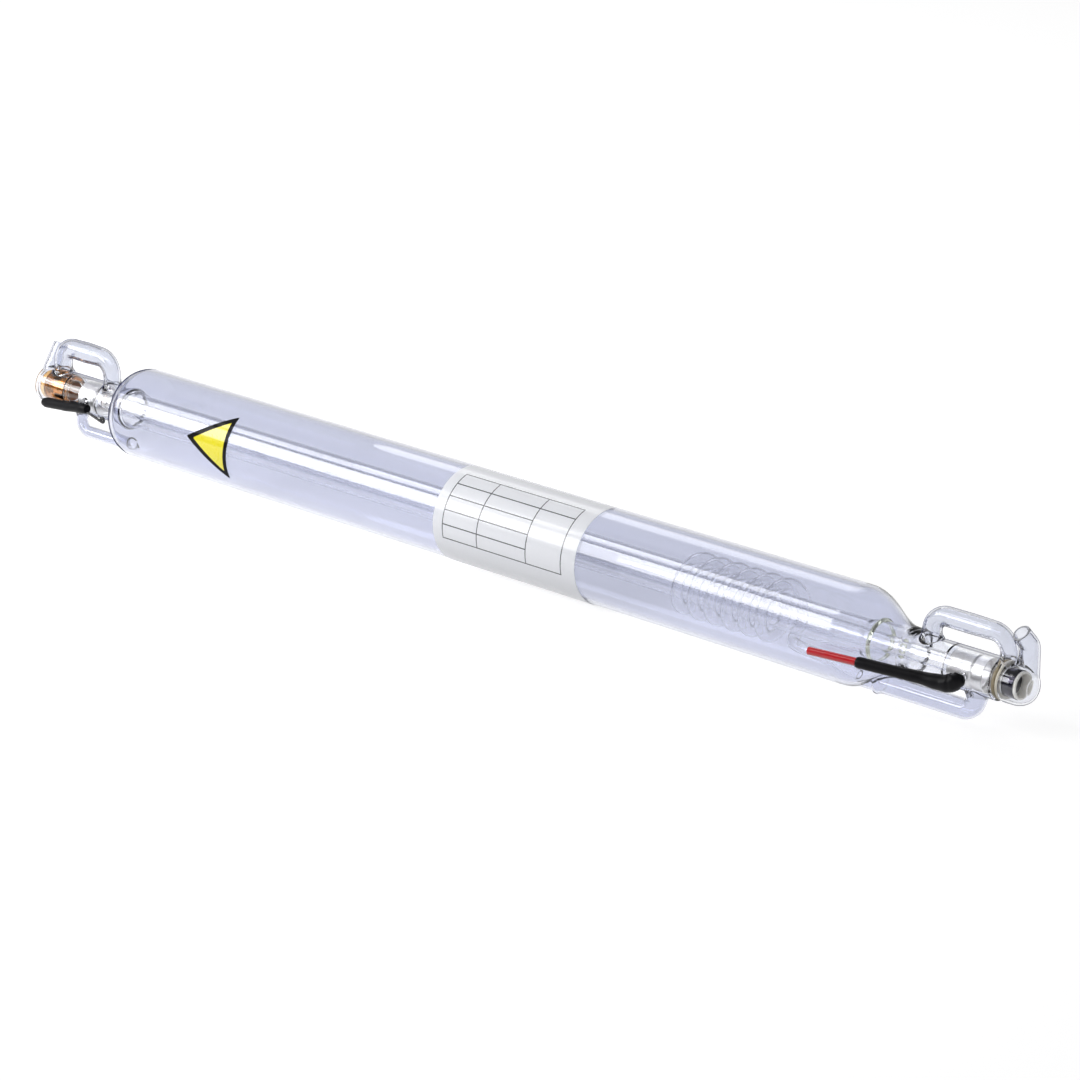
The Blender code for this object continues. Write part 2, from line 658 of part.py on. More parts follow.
def make_sticker():
    """An equal sided triangle that points along the tube, with its corners cut short."""
    height = STICKER_SIDE * sqrt(3) / 2
    point = OUTPUT_END + STICKER_INSET - height * 2 / 3
    base = point + height
    half = (STICKER_SIDE / 2 - STICKER_TRIM) / JACKET_RADIUS
    first, last = STICKER_ANGLE - half * 180 / pi, STICKER_ANGLE + half * 180 / pi
    rows = []
    for angle in facet_edges(first, last):
        away = abs(radians(angle - STICKER_ANGLE)) * JACKET_RADIUS
        rows.append((angle, point + max(away, STICKER_TRIM) * sqrt(3), base))
    wrap("triangle_sticker", rows, material("triangle_sticker_film", (0.95, 0.85, 0.05), 0.35))


# Leads

def from_rear(points):
    return [axis_point(REAR_END - inset, side, up) for inset, side, up in points]


def from_output(points):
    return [axis_point(OUTPUT_END + inset, side, up) for inset, side, up in points]


def cord(name, route, radius, look):
    """A plain cord: a curve with a round bevel and filled ends."""
    curve = bpy.data.curves.new(name, "CURVE")
    curve.dimensions = "3D"
    curve.bevel_depth = radius
    curve.bevel_resolution = 2
    curve.use_fill_caps = True
    spline = curve.splines.new("POLY")
    spline.points.add(len(route) - 1)
    for place, point in zip(spline.points, route):
        place.co = (*point, 1.0)
    curve.materials.append(look)
    made = bpy.data.objects.new(name, curve)
    bpy.context.collection.objects.link(made)
    return made


def make_anode_lead(pin_room):
    points = from_rear(ANODE_SLEEVE_POINTS)
    route = smooth_route(points, 2)
    radii = []
    for before, after in zip(ANODE_SLEEVE_RADII, ANODE_SLEEVE_RADII[1:]):
        radii += [before, (before + after) / 2]
    radii.append(ANODE_SLEEVE_RADII[-1])
    black = material("anode_sleeve_shrink", (0.015, 0.015, 0.018), 0.45)
    sleeve = rod("anode_sleeve", route, radii, black, SLEEVE_SIDES)
    for tool in pin_room:
        cut(sleeve, tool)
    wire = from_rear(HV_WIRE_POINTS)
    deeper = wire[0] + (wire[0] - wire[1]).normalized() * CLEARANCE
    beyond = wire[1] + (wire[2] - wire[1])
    cut(sleeve, as_cutter(rod("hv_lead_socket", [deeper, wire[1], beyond],
                              [HV_WIRE_RADIUS + CLEARANCE] * 3, None, 12)))
    cord("hv_lead", wire, HV_WIRE_RADIUS, material("hv_lead_silicone", (0.75, 0.02, 0.03), 0.3))


def make_cathode_lead(pin_room):
    route = from_output(CATHODE_SLEEVE_POINTS)
    black = material("cathode_sleeve_shrink", (0.015, 0.015, 0.018), 0.4)
    sleeve = rod("cathode_sleeve", route, list(CATHODE_SLEEVE_RADII), black, SLEEVE_SIDES)
    for tool in pin_room:
        cut(sleeve, tool)
    root, bend, end = from_output([TAIL_ROOT, TAIL_BEND, TAIL_END])
    along = (end - bend).normalized()
    across = Vector((0, -1, 0)).cross(along).normalized()
    centre = end + across * EYE_RADIUS
    tail = [root, bend]
    for step in range(EYE_STEPS):
        angle = 2 * pi * step / (EYE_STEPS + 1.5)
        tail.append(centre - across * (EYE_RADIUS * cos(angle)) + along * (EYE_RADIUS * sin(angle)))
    wire = metal("cathode_tail", (0.05, 0.05, 0.06), 0.3)
    rod("cathode_tail", tail, [TAIL_RADIUS] * len(tail), wire, 8)
    deeper = root + (root - bend).normalized() * CLEARANCE
    outside = bend + (bend - root).normalized() * CLEARANCE
    socket = rod("cathode_tail_socket", [deeper, outside], [TAIL_RADIUS + CLEARANCE] * 2, None, 10)
    cut(sleeve, as_cutter(socket))


def build():
    for leftover in list(bpy.data.objects):
        bpy.data.objects.remove(leftover, do_unlink=True)
    jacket, water = make_jackets()
    anode_drop = JACKET_RADIUS - ANODE_LINK_DEPTH
    make_coil(anode_drop)
    cathode_chamber = make_chamber("cathode_chamber", CATHODE_WATER_END, -1, CATHODE_CHAMBER_LENGTH)
    anode_chamber = make_chamber("anode_chamber", ANODE_WATER_END, 1, ANODE_CHAMBER_LENGTH)
    make_electrode("cathode_cylinder", CATHODE_WATER_END, -1, CATHODE_LENGTH, False)
    make_electrode("anode_cylinder", ANODE_WATER_END, 1, ANODE_LENGTH, True)
    cathode_x = CATHODE_WATER_END - ELECTRODE_SETBACK - CATHODE_PIN_PLACE
    anode_x = ANODE_WATER_END + ELECTRODE_SETBACK + ANODE_PIN_PLACE
    cathode_room, cathode_bead = make_pin("cathode", cathode_chamber, cathode_x, CATHODE_PIN_REACH)
    anode_room, anode_bead = make_pin("anode", anode_chamber, anode_x, ANODE_PIN_REACH)
    output_cap = make_output_end()
    rear_cap = make_rear_end()
    grown = CLEARANCE
    output_side = [*output_cap_outline(grown), (JACKET_START, NECK_RADIUS + grown)]
    output_envelope = envelope("output_envelope", output_side)
    step = ANODE_FLANGE + CLEARANCE
    rear_side = [(JACKET_TIP, NECK_RADIUS + grown), (step, NECK_RADIUS + grown), *rear_cap_outline(grown)]
    rear_envelope = envelope("rear_envelope", rear_side)
    jacket_envelope = envelope("jacket_envelope", jacket_outline(2 * CLEARANCE), JACKET_SIDES)
    output_bridge = (OUTPUT_BRIDGE_RADII, OUTPUT_BRIDGE_HEIGHT, OUTPUT_BRIDGE_CAP_INSET,
                     OUTPUT_BRIDGE_NECK_INSET, OUTPUT_BRIDGE_SPLAY)
    rear_bridge = (REAR_BRIDGE_RADII, REAR_BRIDGE_HEIGHT, REAR_BRIDGE_CAP_INSET,
                   REAR_BRIDGE_NECK_INSET, REAR_BRIDGE_SPLAY)
    output_arch = make_bridge("output_water_bridge", OUTPUT_END, 1, output_bridge, (output_cap, water))
    rear_arch = make_bridge("rear_water_bridge", REAR_END, -1, rear_bridge, (rear_cap, water))
    route = from_output(OUTPUT_STUB_POINTS)
    output_stub = make_stub("output_hose_stub", route, OUTPUT_STUB_RADII, output_cap)
    route = from_rear(REAR_STUB_POINTS)
    rear_stub = make_stub("rear_hose_stub", route, REAR_STUB_RADII, rear_cap)
    arms = [
        (output_arch, output_envelope),
        (rear_arch, rear_envelope),
        (output_stub, output_envelope),
        (rear_stub, rear_envelope),
        (cathode_bead, output_envelope),
        (anode_bead, rear_envelope),
    ]
    cathode_link = make_link("cathode_gas_link", OUTPUT_END + CATHODE_LINK_INSET, 1, CATHODE_LINK_RADIUS,
                             CATHODE_LINK_WALL, CATHODE_LINK_DEPTH, cathode_chamber, jacket)
    anode_link = make_link("anode_gas_link", REAR_END - ANODE_LINK_INSET, -1, ANODE_LINK_RADIUS,
                           ANODE_LINK_WALL, ANODE_LINK_DEPTH, anode_chamber, jacket)
    arms += [(cathode_link, output_envelope), (anode_link, rear_envelope)]
    for arm, around in arms:
        cut(arm, around)
    cut(cathode_link, jacket_envelope)
    cut(anode_link, jacket_envelope)
    make_label()
    make_sticker()
    make_anode_lead(anode_room)
    make_cathode_lead(cathode_room)


build()
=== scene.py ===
"""Looks of a sealed glass laser tube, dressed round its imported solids.

Metres. +X runs along the beam from the output mirror to the rear mirror, +Z is up, and the tube lies on
Z = 0 under its own axis. Angles round the axis are degrees from the top towards the leads, on -Y.
An inset is a distance along X from the nearer end of the tube.
"""

from math import acos, cos, exp, hypot, pi, radians, sin, sqrt, tan

import bmesh
import bpy
from mathutils import Matrix, Vector


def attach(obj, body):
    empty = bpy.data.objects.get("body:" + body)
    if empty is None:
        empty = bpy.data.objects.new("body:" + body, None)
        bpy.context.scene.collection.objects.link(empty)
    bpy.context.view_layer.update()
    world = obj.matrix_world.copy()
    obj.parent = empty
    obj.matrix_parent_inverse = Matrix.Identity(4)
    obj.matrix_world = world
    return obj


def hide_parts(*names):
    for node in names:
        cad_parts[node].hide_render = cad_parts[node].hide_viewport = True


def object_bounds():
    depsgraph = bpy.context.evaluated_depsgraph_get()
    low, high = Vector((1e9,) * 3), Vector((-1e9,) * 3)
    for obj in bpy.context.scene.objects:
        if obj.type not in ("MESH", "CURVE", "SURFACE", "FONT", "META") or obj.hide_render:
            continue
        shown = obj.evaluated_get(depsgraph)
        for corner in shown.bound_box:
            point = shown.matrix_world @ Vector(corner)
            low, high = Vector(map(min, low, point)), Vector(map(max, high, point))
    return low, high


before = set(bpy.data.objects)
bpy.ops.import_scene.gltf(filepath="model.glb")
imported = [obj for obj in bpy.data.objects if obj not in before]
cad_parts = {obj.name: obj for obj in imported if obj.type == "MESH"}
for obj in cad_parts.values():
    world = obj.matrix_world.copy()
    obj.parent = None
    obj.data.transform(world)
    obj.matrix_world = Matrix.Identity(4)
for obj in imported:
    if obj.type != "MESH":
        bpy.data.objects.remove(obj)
CAD_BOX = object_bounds()
BODY = "root"
OUTPUT_END = CAD_BOX[0].x
REAR_END = CAD_BOX[1].x
JACKET_FLATS = 40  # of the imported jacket, which rests on one of them
AXIS_HEIGHT = 0.025 * cos(pi / JACKET_FLATS)
SEAT = 0.00003  # between pieces that are fused or lie on each other
SIDES = 120  # of the turned glass

# Camera and studio
CAMERA_PLACE = (1.4145, -1.4577, 0.7237)
CAMERA_AIM = (-0.64862, 0.68589, -0.32991)
CAMERA_LENS = 140.0
SCREEN_SIDE = (0.72657, 0.68709, 0.0)  # level, across the view
ROOM_LEVELS = ((0.0, 0.90), (0.10, 0.86), (0.35, 0.60), (0.70, 0.32), (1.0, 0.26))  # foot to ceiling
FLAG_STOPS = ((0.72, 0.0), (0.80, 1.0))  # where the dark flags begin, from the middle of the set
FLAG_COLOUR = (0.03, 0.03, 0.06)
FLOOR_MATT = (0.46, 0.46, 0.46)
FLOOR_GLOW = (0.76, 0.76, 0.76)
LIGHT_DISTANCE = 1.2
# Angles round the tube at the output and rear ends, width, start and end along X, and brightness of
# each soft box
LIGHTS = (
    ("front_softbox", 61.0, 61.0, 0.57, -1.78, -0.34, 6.0),
    ("upper_strip", 39.5, 32.0, 0.21, -1.95, -0.12, 4.4),
    ("end_card", 50.0, 50.0, 0.30, -1.80, -1.44, 5.0),
    ("back_softbox", -39.0, -39.0, 0.46, -1.2, -0.2, 1.7),
)

# Gas jacket
JACKET_RADIUS = AXIS_HEIGHT  # round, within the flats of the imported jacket
JACKET_WALL = 0.0018
JACKET_START = OUTPUT_END + 0.0730
JACKET_SHOULDER = 0.0120
JACKET_TIP = REAR_END - 0.0710
TAPER_START = JACKET_TIP - 0.0330
SHOULDER_CENTRE = (JACKET_START + JACKET_SHOULDER, JACKET_RADIUS - JACKET_SHOULDER)
OUTER_FILLET = 0.0018  # where the output neck enters the jacket
INNER_FILLET = 0.0020
TIP_RUN = 0.0062  # along which the jacket's tip dies out on the rear neck
TIP_ROOM = 0.0006  # the least space over the neck at the jacket's tip
LOOK_EDGE = JACKET_TIP + 0.0025  # where the jacket's look gives way to that of the end

# Inner glass
WATER_RADIUS = 0.0090
WATER_WALL = 0.0012
CATHODE_WATER_END = OUTPUT_END + 0.0513
ANODE_WATER_END = REAR_END - 0.0450
NECK_RADIUS = 0.0103
NECK_WALL = 0.0011
NECK_FLARE = 0.0070
OUTPUT_NECK_END = JACKET_START + 0.0052
REAR_NECK_END = TAPER_START + 0.0130
FLANGE = 0.0012
CATHODE_FLANGE = CATHODE_WATER_END - 0.0273
ANODE_FLANGE = ANODE_WATER_END + 0.0271
BEAM_HOLE = 0.0055
DISCHARGE_RADIUS = 0.0045
DISCHARGE_WALL = 0.0010
DISCHARGE_REACH = 0.0030
INNER_RADIUS = NECK_RADIUS - NECK_WALL

# Rear seam, a bead of glass round the neck
SEAM_WIDTH = 0.0024
SEAM_HEIGHT = 0.0012
REAR_SEAM_START = REAR_NECK_END + 0.0006

# Caps
CAP_CORNER = 0.0022
CAP_FRONT = 0.0015
APERTURE = 0.0062
REAR_CAP_RADIUS = 0.0098
REAR_CAP_START = ANODE_FLANGE + 0.0045
DOME_LENGTH = 0.0085
DOME_FLAT = 0.0042

# Side tubes
TUBE_SIDES = 40
TUBE_WALL = 0.0011
FOOT_SPREAD = 0.0016  # how far a fused foot spreads where it meets the glass
FOOT_LENGTH = 0.0012
FOOT_DEPTH = 0.0006  # how far inside the host's surface a foot is at its widest
FUSED_DEPTH = 0.0005  # how far a side tube runs into the glass that it is fused to
BORE_FLARE = 0.0012  # how far the bore of a gas link widens where it opens into the jacket
ARM_ROOT = 0.0055  # distance from the axis at which an arm starts, inside the glass
LINK_ANGLE = 170.0
BRIDGE_BEND, STUB_BEND, LINK_BEND = 0.0094, 0.0050, 0.0070
ROUTE_SPACING = 0.0011
MOUTH_EASE = 0.0003  # round the cut mouth of a stub
MOUTH_FLARE = 0.0005
PAST_MOUTH = 0.0010  # how far a bore's cutter goes past an open end
OUTPUT_BRIDGE = {"height": 0.0248, "cap_inset": 0.0143, "neck_inset": 0.0568, "splay": 0.0012}
REAR_BRIDGE = {"height": 0.0226, "cap_inset": 0.0141, "neck_inset": 0.0595, "splay": 0.0}
# Place on the neck, distance from the axis, and the places where it enters the jacket and ends
CATHODE_LINK = (OUTPUT_END + 0.0320, 0.0200, JACKET_START + 0.0022, JACKET_START + 0.0100)
ANODE_LINK = (REAR_END - 0.0304, 0.0189, JACKET_TIP - 0.0160, TAPER_START)
# Radii from root to end
OUTPUT_BRIDGE_RADII = (0.0049, 0.0058, 0.0045)
REAR_BRIDGE_RADII = (0.0042, 0.0049, 0.0047)
OUTPUT_STUB_RADII = (0.0044, 0.0043, 0.0043)
REAR_STUB_RADII = (0.0048, 0.0048, 0.0045)
CATHODE_LINK_RADIUS, ANODE_LINK_RADIUS = 0.0033, 0.0050
CATHODE_LINK_WALL = 0.0008
# Routes of the hose stubs, as points of (inset, along Y, height over the axis)
OUTPUT_STUB = ((0.0044, -0.0014, ARM_ROOT), (0.0044, -0.0008, 0.0090), (0.0044, 0.0076, 0.0222))
REAR_STUB = ((0.0052, 0.0034, 0.0020), (0.0052, 0.0034, 0.0190), (0.0070, -0.0018, 0.0262))

# Gas return coil
COIL_TUBE_RADIUS = 0.0030
COIL_TUBE_WALL = 0.0008
COIL_ROOM = 0.0017
COIL_RADIUS = WATER_RADIUS + COIL_ROOM + COIL_TUBE_RADIUS
COIL_PITCH = 0.01074
COIL_TURNS = 6.15
COIL_LAST_ANGLE = 185.0
COIL_END = REAR_END - 0.1442
COIL_STEPS = 36
COIL_SPACING = 0.0016
COIL_RIM_EASE = 0.0004
# Points of (distance past the winding's end, radius, angle)
RUN_OUT_POINTS = ((0.0085, 0.0141, 163.0), (0.0220, 0.0151, 164.0), (0.0360, 0.0173, 168.0))
RUN_OUT_DROP = ANODE_LINK[1]

# Electrodes and their lead pins
ELECTRODE_RADIUS = INNER_RADIUS - 0.0006
ELECTRODE_WALL = 0.0005
CATHODE_NEAR, CATHODE_FAR = CATHODE_WATER_END - 0.0012, CATHODE_WATER_END - 0.0142
ANODE_NEAR, ANODE_FAR = ANODE_WATER_END + 0.0012, ANODE_WATER_END + 0.0217
GROOVE = ANODE_NEAR + 0.0138
GROOVE_SIDE, GROOVE_DEPTH = 0.0011, 0.0008
PIN_RADIUS = 0.0007
BEAD_RADIUS = 0.0026
BEAD_HEIGHT = 0.0011
# Place along X, and how far each pin stands out of the glass
PINS = {"cathode_pin": (CATHODE_NEAR - 0.0055, 0.0040), "anode_pin": (ANODE_NEAR + 0.0102, 0.0062)}

# Mirrors
HOLDER_RADIUS = INNER_RADIUS - 0.0006
HOLDER_WALL = 0.0026
RETAINER_LENGTH = 0.0024
COUPLER_THICKNESS = 0.0027
SEAL_LENGTH = 0.0018
SEAL_BORE = 0.0066
REFLECTOR_PLATE = 0.0020
REFLECTOR_LENGTH = 0.0066
MIRROR_DISH = 0.0003
REFLECTOR_RADIUS = REAR_CAP_RADIUS - NECK_WALL - 0.0016
GAP = 0.0003  # between loose pieces
CELL_RADIUS = REFLECTOR_RADIUS - GAP
CELL_LENGTH, CELL_WALL = 0.0056, 0.0011

# Leads, as points of (inset, along Y, height over the axis)
ANODE_SLEEVE = (
    (0.0312, -0.0150, 0.0034), (0.0318, -0.0166, 0.0006), (0.0352, -0.0176, -0.0016),
    (0.0412, -0.0186, -0.0022), (0.0505, -0.0203, -0.0019), (0.0650, -0.0233, -0.0015),
    (0.0825, -0.0265, -0.0011),
)
ANODE_SLEEVE_RADII = (0.0024, 0.0043, 0.0044, 0.0038, 0.0031, 0.0028, 0.0028)
ANODE_SLEEVE_RIMS = (0.001728, 0.0025)
HV_WIRE_RADIUS = 0.0020
HV_WIRE = (
    (0.0735, -0.0249, -0.0013), (0.0825, -0.0265, -0.0011), (0.0905, -0.0279, -0.0010),
    (0.0990, -0.0293, -0.0009), (0.1083, -0.0308, -0.0009),
)
CATHODE_SLEEVE = (
    (0.0505, -0.0139, -0.0018), (0.0475, -0.0139, -0.0020), (0.0400, -0.0137, -0.0028),
    (0.0310, -0.0135, -0.0040), (0.0155, -0.0131, -0.0056), (0.0120, -0.0130, -0.0060),
)
CATHODE_SLEEVE_RADII = (0.0024, 0.0030, 0.0030, 0.0030, 0.0029, 0.0020)
CATHODE_SLEEVE_RIMS = (0.0018, 0.0014)
TAIL_RADIUS = 0.00075
TAIL = ((0.0480, -0.0142, -0.0028), (0.0512, -0.0145, -0.0034), (0.0638, -0.0150, -0.0062))
EYE_RADIUS = 0.0013
EYE_TURN = 0.90  # of a full circle

# Label and sticker
PAPER = 0.00016
LABEL_START = OUTPUT_END + 0.3315
LABEL_LENGTH = 0.0985
LABEL_TOP, LABEL_BOTTOM = -11.0, 157.0
TABLE_COLUMNS = [LABEL_START + inset for inset in (0.0068, 0.0309, 0.0649, 0.0890)]
TABLE_TOP = 0.0070  # from the top of the jacket, round it
TABLE_ROW = 0.0075
TABLE_LINES = 6
FULL_LINES = (0, 1, 5)  # the lines that reach the last column
LINE_WIDTH = 0.00058
INK = 0.00002  # how far ink and film stand above what is under them
STICKER_SIDE = 0.0365
BORDER_WIDTH = 0.0026  # of the black edge of the sticker
STICKER_CENTRE = OUTPUT_END + 0.1653
STICKER_ANGLE = 76.0


# Camera

def make_camera():
    lens = bpy.data.cameras.new("camera")
    lens.lens = CAMERA_LENS
    lens.sensor_width = 36.0
    lens.clip_start, lens.clip_end = 0.05, 60.0
    camera = bpy.data.objects.new("camera", lens)
    bpy.context.scene.collection.objects.link(camera)
    camera.location = CAMERA_PLACE
    camera.rotation_euler = Vector(CAMERA_AIM).to_track_quat("-Z", "Y").to_euler()
    bpy.context.scene.camera = camera


# Points and routes

def axis_point(x, side=0.0, up=0.0):
    return Vector((x, side, AXIS_HEIGHT + up))


def round_axis(x, radius, angle):
    """The point at a radius and at degrees round the axis."""
    return axis_point(x, -radius * sin(radians(angle)), radius * cos(radians(angle)))


def from_output(points):
    """Points of (inset, along Y, height over the axis) from the output end."""
    return [axis_point(OUTPUT_END + inset, side, up) for inset, side, up in points]


def from_rear(points):
    """The same from the rear end."""
    return [axis_point(REAR_END - inset, side, up) for inset, side, up in points]


def from_axis(point):
    """How far a point is from the axis."""
    return hypot(point.y, point.z - AXIS_HEIGHT)


def arc(centre, radius, first, last, steps):
    """Points of (x, radius) on a circle, between two angles in degrees."""
    angles = [radians(first + (last - first) * step / steps) for step in range(steps + 1)]
    return [(centre[0] + radius * cos(angle), centre[1] + radius * sin(angle)) for angle in angles]


def wave(start, end, first, last, steps):
    """Points of a smooth S from one radius to another."""
    shares = [step / steps for step in range(steps + 1)]
    middle, swing = (first + last) / 2, (first - last) / 2
    return [(start + (end - start) * share, middle + swing * cos(pi * share)) for share in shares]


def level(start, end, radius, spacing=0.0016):
    """Points along a straight cylinder, ends left out."""
    steps = max(1, round(abs(end - start) / spacing))
    return [(start + (end - start) * step / steps, radius) for step in range(1, steps)]


def rounded(corners, bend, steps=10):
    """A route with its inner corners rounded to one radius."""
    route = [Vector(corners[0])]
    for before, corner, after in zip(corners, corners[1:], corners[2:]):
        back = (before - corner).normalized()
        onward = (after - corner).normalized()
        half = back.angle(onward) / 2
        centre = corner + (back + onward).normalized() * (bend / sin(half))
        first = corner + back * (bend / tan(half)) - centre
        last = corner + onward * (bend / tan(half)) - centre
        sweep = pi - 2 * half
        for step in range(steps + 1):
            share = step / steps
            mixed = first * sin((1 - share) * sweep) + last * sin(share * sweep)
            route.append(centre + mixed / sin(sweep))
    route.append(Vector(corners[-1]))
    return route


def smooth_route(points, steps):
    """A curve through the points, with steps between each pair."""
    route = []
    for index in range(len(points) - 1):
        start, end = points[index], points[index + 1]
        before = points[index - 1] if index else start
        after = points[index + 2] if index + 2 < len(points) else end
        for step in range(steps):
            t = step / steps
            leaving, arriving = (end - before) / 2, (after - start) / 2
            route.append(start * (2 * t**3 - 3 * t**2 + 1) + leaving * (t**3 - 2 * t**2 + t)
                         + end * (3 * t**2 - 2 * t**3) + arriving * (t**3 - t**2))
    route.append(points[-1])
    return route


def dense(route, spacing):
    """The same route with its long runs divided."""
    made = [route[0]]
    for before, after in zip(route, route[1:]):
        count = max(1, round((after - before).length / spacing))
        made += [before.lerp(after, step / count) for step in range(1, count + 1)]
    return made


def shared(route, stops):
    """A value for each point of a route, running evenly from stop to stop."""
    lengths = [0.0]
    for before, after in zip(route, route[1:]):
        lengths.append(lengths[-1] + (after - before).length)
    values = []
    for length in lengths:
        place = length / lengths[-1] * (len(stops) - 1)
        index = min(int(place), len(stops) - 2)
        values.append(stops[index] + (stops[index + 1] - stops[index]) * (place - index))
    return values


# Meshes

def settle(bm, name, looks, sharp=40.0):
    """A named object from a bmesh, shaded smooth but for its edges."""
    mesh = bpy.data.meshes.new(name)
    bm.to_mesh(mesh)
    bm.free()
    mesh.shade_smooth()
    mesh.set_sharp_from_angle(angle=radians(sharp))
    for look in looks:
        mesh.materials.append(look)
    made = bpy.data.objects.new(name, mesh)
    bpy.context.scene.collection.objects.link(made)
    return made


def turned(name, outlines, looks, sides=SIDES, pick=None):
    """Spins closed outlines of (x, radius) points round the axis. The glass or metal lies to the right
    of an outline that runs along +X. pick gives the look's number from a face's x and radius."""
    bm = bmesh.new()
    for outline in outlines:
        rings = []
        for x, radius in outline:
            if radius > 0:
                turns = [360.0 * step / sides for step in range(sides)]
                rings.append([bm.verts.new(round_axis(x, radius, angle)) for angle in turns])
            else:
                rings.append([bm.verts.new(axis_point(x))] * sides)
        for place, (ring, following) in enumerate(zip(rings, rings[1:] + rings[:1])):
            middle = [sum(pair) / 2 for pair in zip(outline[place], outline[(place + 1) % len(outline)])]
            for step in range(sides):
                after = (step + 1) % sides
                corners = (ring[step], ring[after], following[after], following[step])
                corners = tuple(dict.fromkeys(corners))
                if len(corners) > 2:
                    face = bm.faces.new(corners)
                    face.material_index = pick(*middle) if pick else 0
    return settle(bm, name, looks)


def loops_along(bm, route, radii, sides, relief=None):
    """A loop of corners round each point of a route, without twist. relief adds to the radius, from
    the share of the route and the turn round it."""
    side = (route[1] - route[0]).orthogonal().normalized()
    loops = []
    for index, (point, radius) in enumerate(zip(route, radii)):
        back = point - route[index - 1] if index else route[1] - route[0]
        onward = route[index + 1] - point if index + 1 < len(route) else back
        tangent = (back.normalized() + onward.normalized()).normalized()
        side = (side - tangent * side.dot(tangent)).normalized()
        up = tangent.cross(side)
        share = index / (len(route) - 1)
        corners = []
        for step in range(sides):
            a = 2 * pi * step / sides
            reach = radius + (relief(share, a) if relief else 0.0)
            corners.append(bm.verts.new(point + (side * cos(a) + up * sin(a)) * reach))
        loops.append(corners)
    return loops


def skin(bm, loops):
    for loop, following in zip(loops, loops[1:]):
        for index, corner in enumerate(loop):
            after = (index + 1) % len(loop)
            bm.faces.new((corner, loop[after], following[after], following[index]))


def rod(name, route, radii, look, sides=TUBE_SIDES, relief=None):
    """A filled rod along a route."""
    bm = bmesh.new()
    loops = loops_along(bm, route, radii, sides, relief)
    skin(bm, loops)
    bm.faces.new(loops[0])
    bm.faces.new(loops[-1])
    bmesh.ops.recalc_face_normals(bm, faces=bm.faces)
    return settle(bm, name, [look] if look else [])


def open_tube(name, route, radii, wall, look, sides=TUBE_SIDES):
    """A tube along a route, open at both ends."""
    bm = bmesh.new()
    outer = loops_along(bm, route, radii, sides)
    inner = loops_along(bm, route, [radius - wall for radius in radii], sides)
    for loops in (outer, inner, [outer[0], inner[0]], [outer[-1], inner[-1]]):
        skin(bm, loops)
    bmesh.ops.recalc_face_normals(bm, faces=bm.faces)
    return settle(bm, name, [look])


def combine(target, operation, tools):
    """One boolean with several tools, which are used up."""
    group = bpy.data.collections.new("tools")
    for tool in tools:
        group.objects.link(tool)
    step = target.modifiers.new("step", "BOOLEAN")
    step.operation = operation
    step.solver = "MANIFOLD"
    step.operand_type = "COLLECTION"
    step.collection = group
    step.material_mode = "TRANSFER"
    bpy.context.view_layer.update()
    graph = bpy.context.evaluated_depsgraph_get()
    mesh = bpy.data.meshes.new_from_object(target.evaluated_get(graph))
    target.modifiers.clear()
    target.data = mesh
    for tool in tools:
        bpy.data.objects.remove(tool)
    bpy.data.collections.remove(group)


def dress(made, finish, *nodes):
    """The piece stands for its nodes, which are hidden, and rides on the body. The finish is not used."""
    made.name = made.name.split(".")[0] + "_finished"
    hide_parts(*nodes)
    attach(made, BODY)
    return made


# Blown glass

def jacket_side(wall):
    """The jacket's outside, or the surface that lies a wall inside it, from its shoulder to its tip."""
    side = arc(SHOULDER_CENTRE, JACKET_SHOULDER - wall, 180, 90, 20)
    tip = NECK_RADIUS + max(JACKET_WALL - wall, TIP_ROOM)
    return side + wave(TAPER_START, JACKET_TIP - wall * 0.5, JACKET_RADIUS - wall, tip, 28)


def dome(grow):
    """The rear cap's outside, or a surface that lies a little in or out of it."""
    start = REAR_END - DOME_LENGTH
    radius, end = REAR_CAP_RADIUS + grow, REAR_END + grow
    points = [(REAR_CAP_START, radius), *level(REAR_CAP_START, start, radius)]
    for step in range(17):
        angle = pi / 2 * step / 16
        narrowing = (radius - DOME_FLAT) * (1 - cos(angle))
        points.append((start + (end - start) * sin(angle), radius - narrowing))
    return [*points, (end, 0.0)]


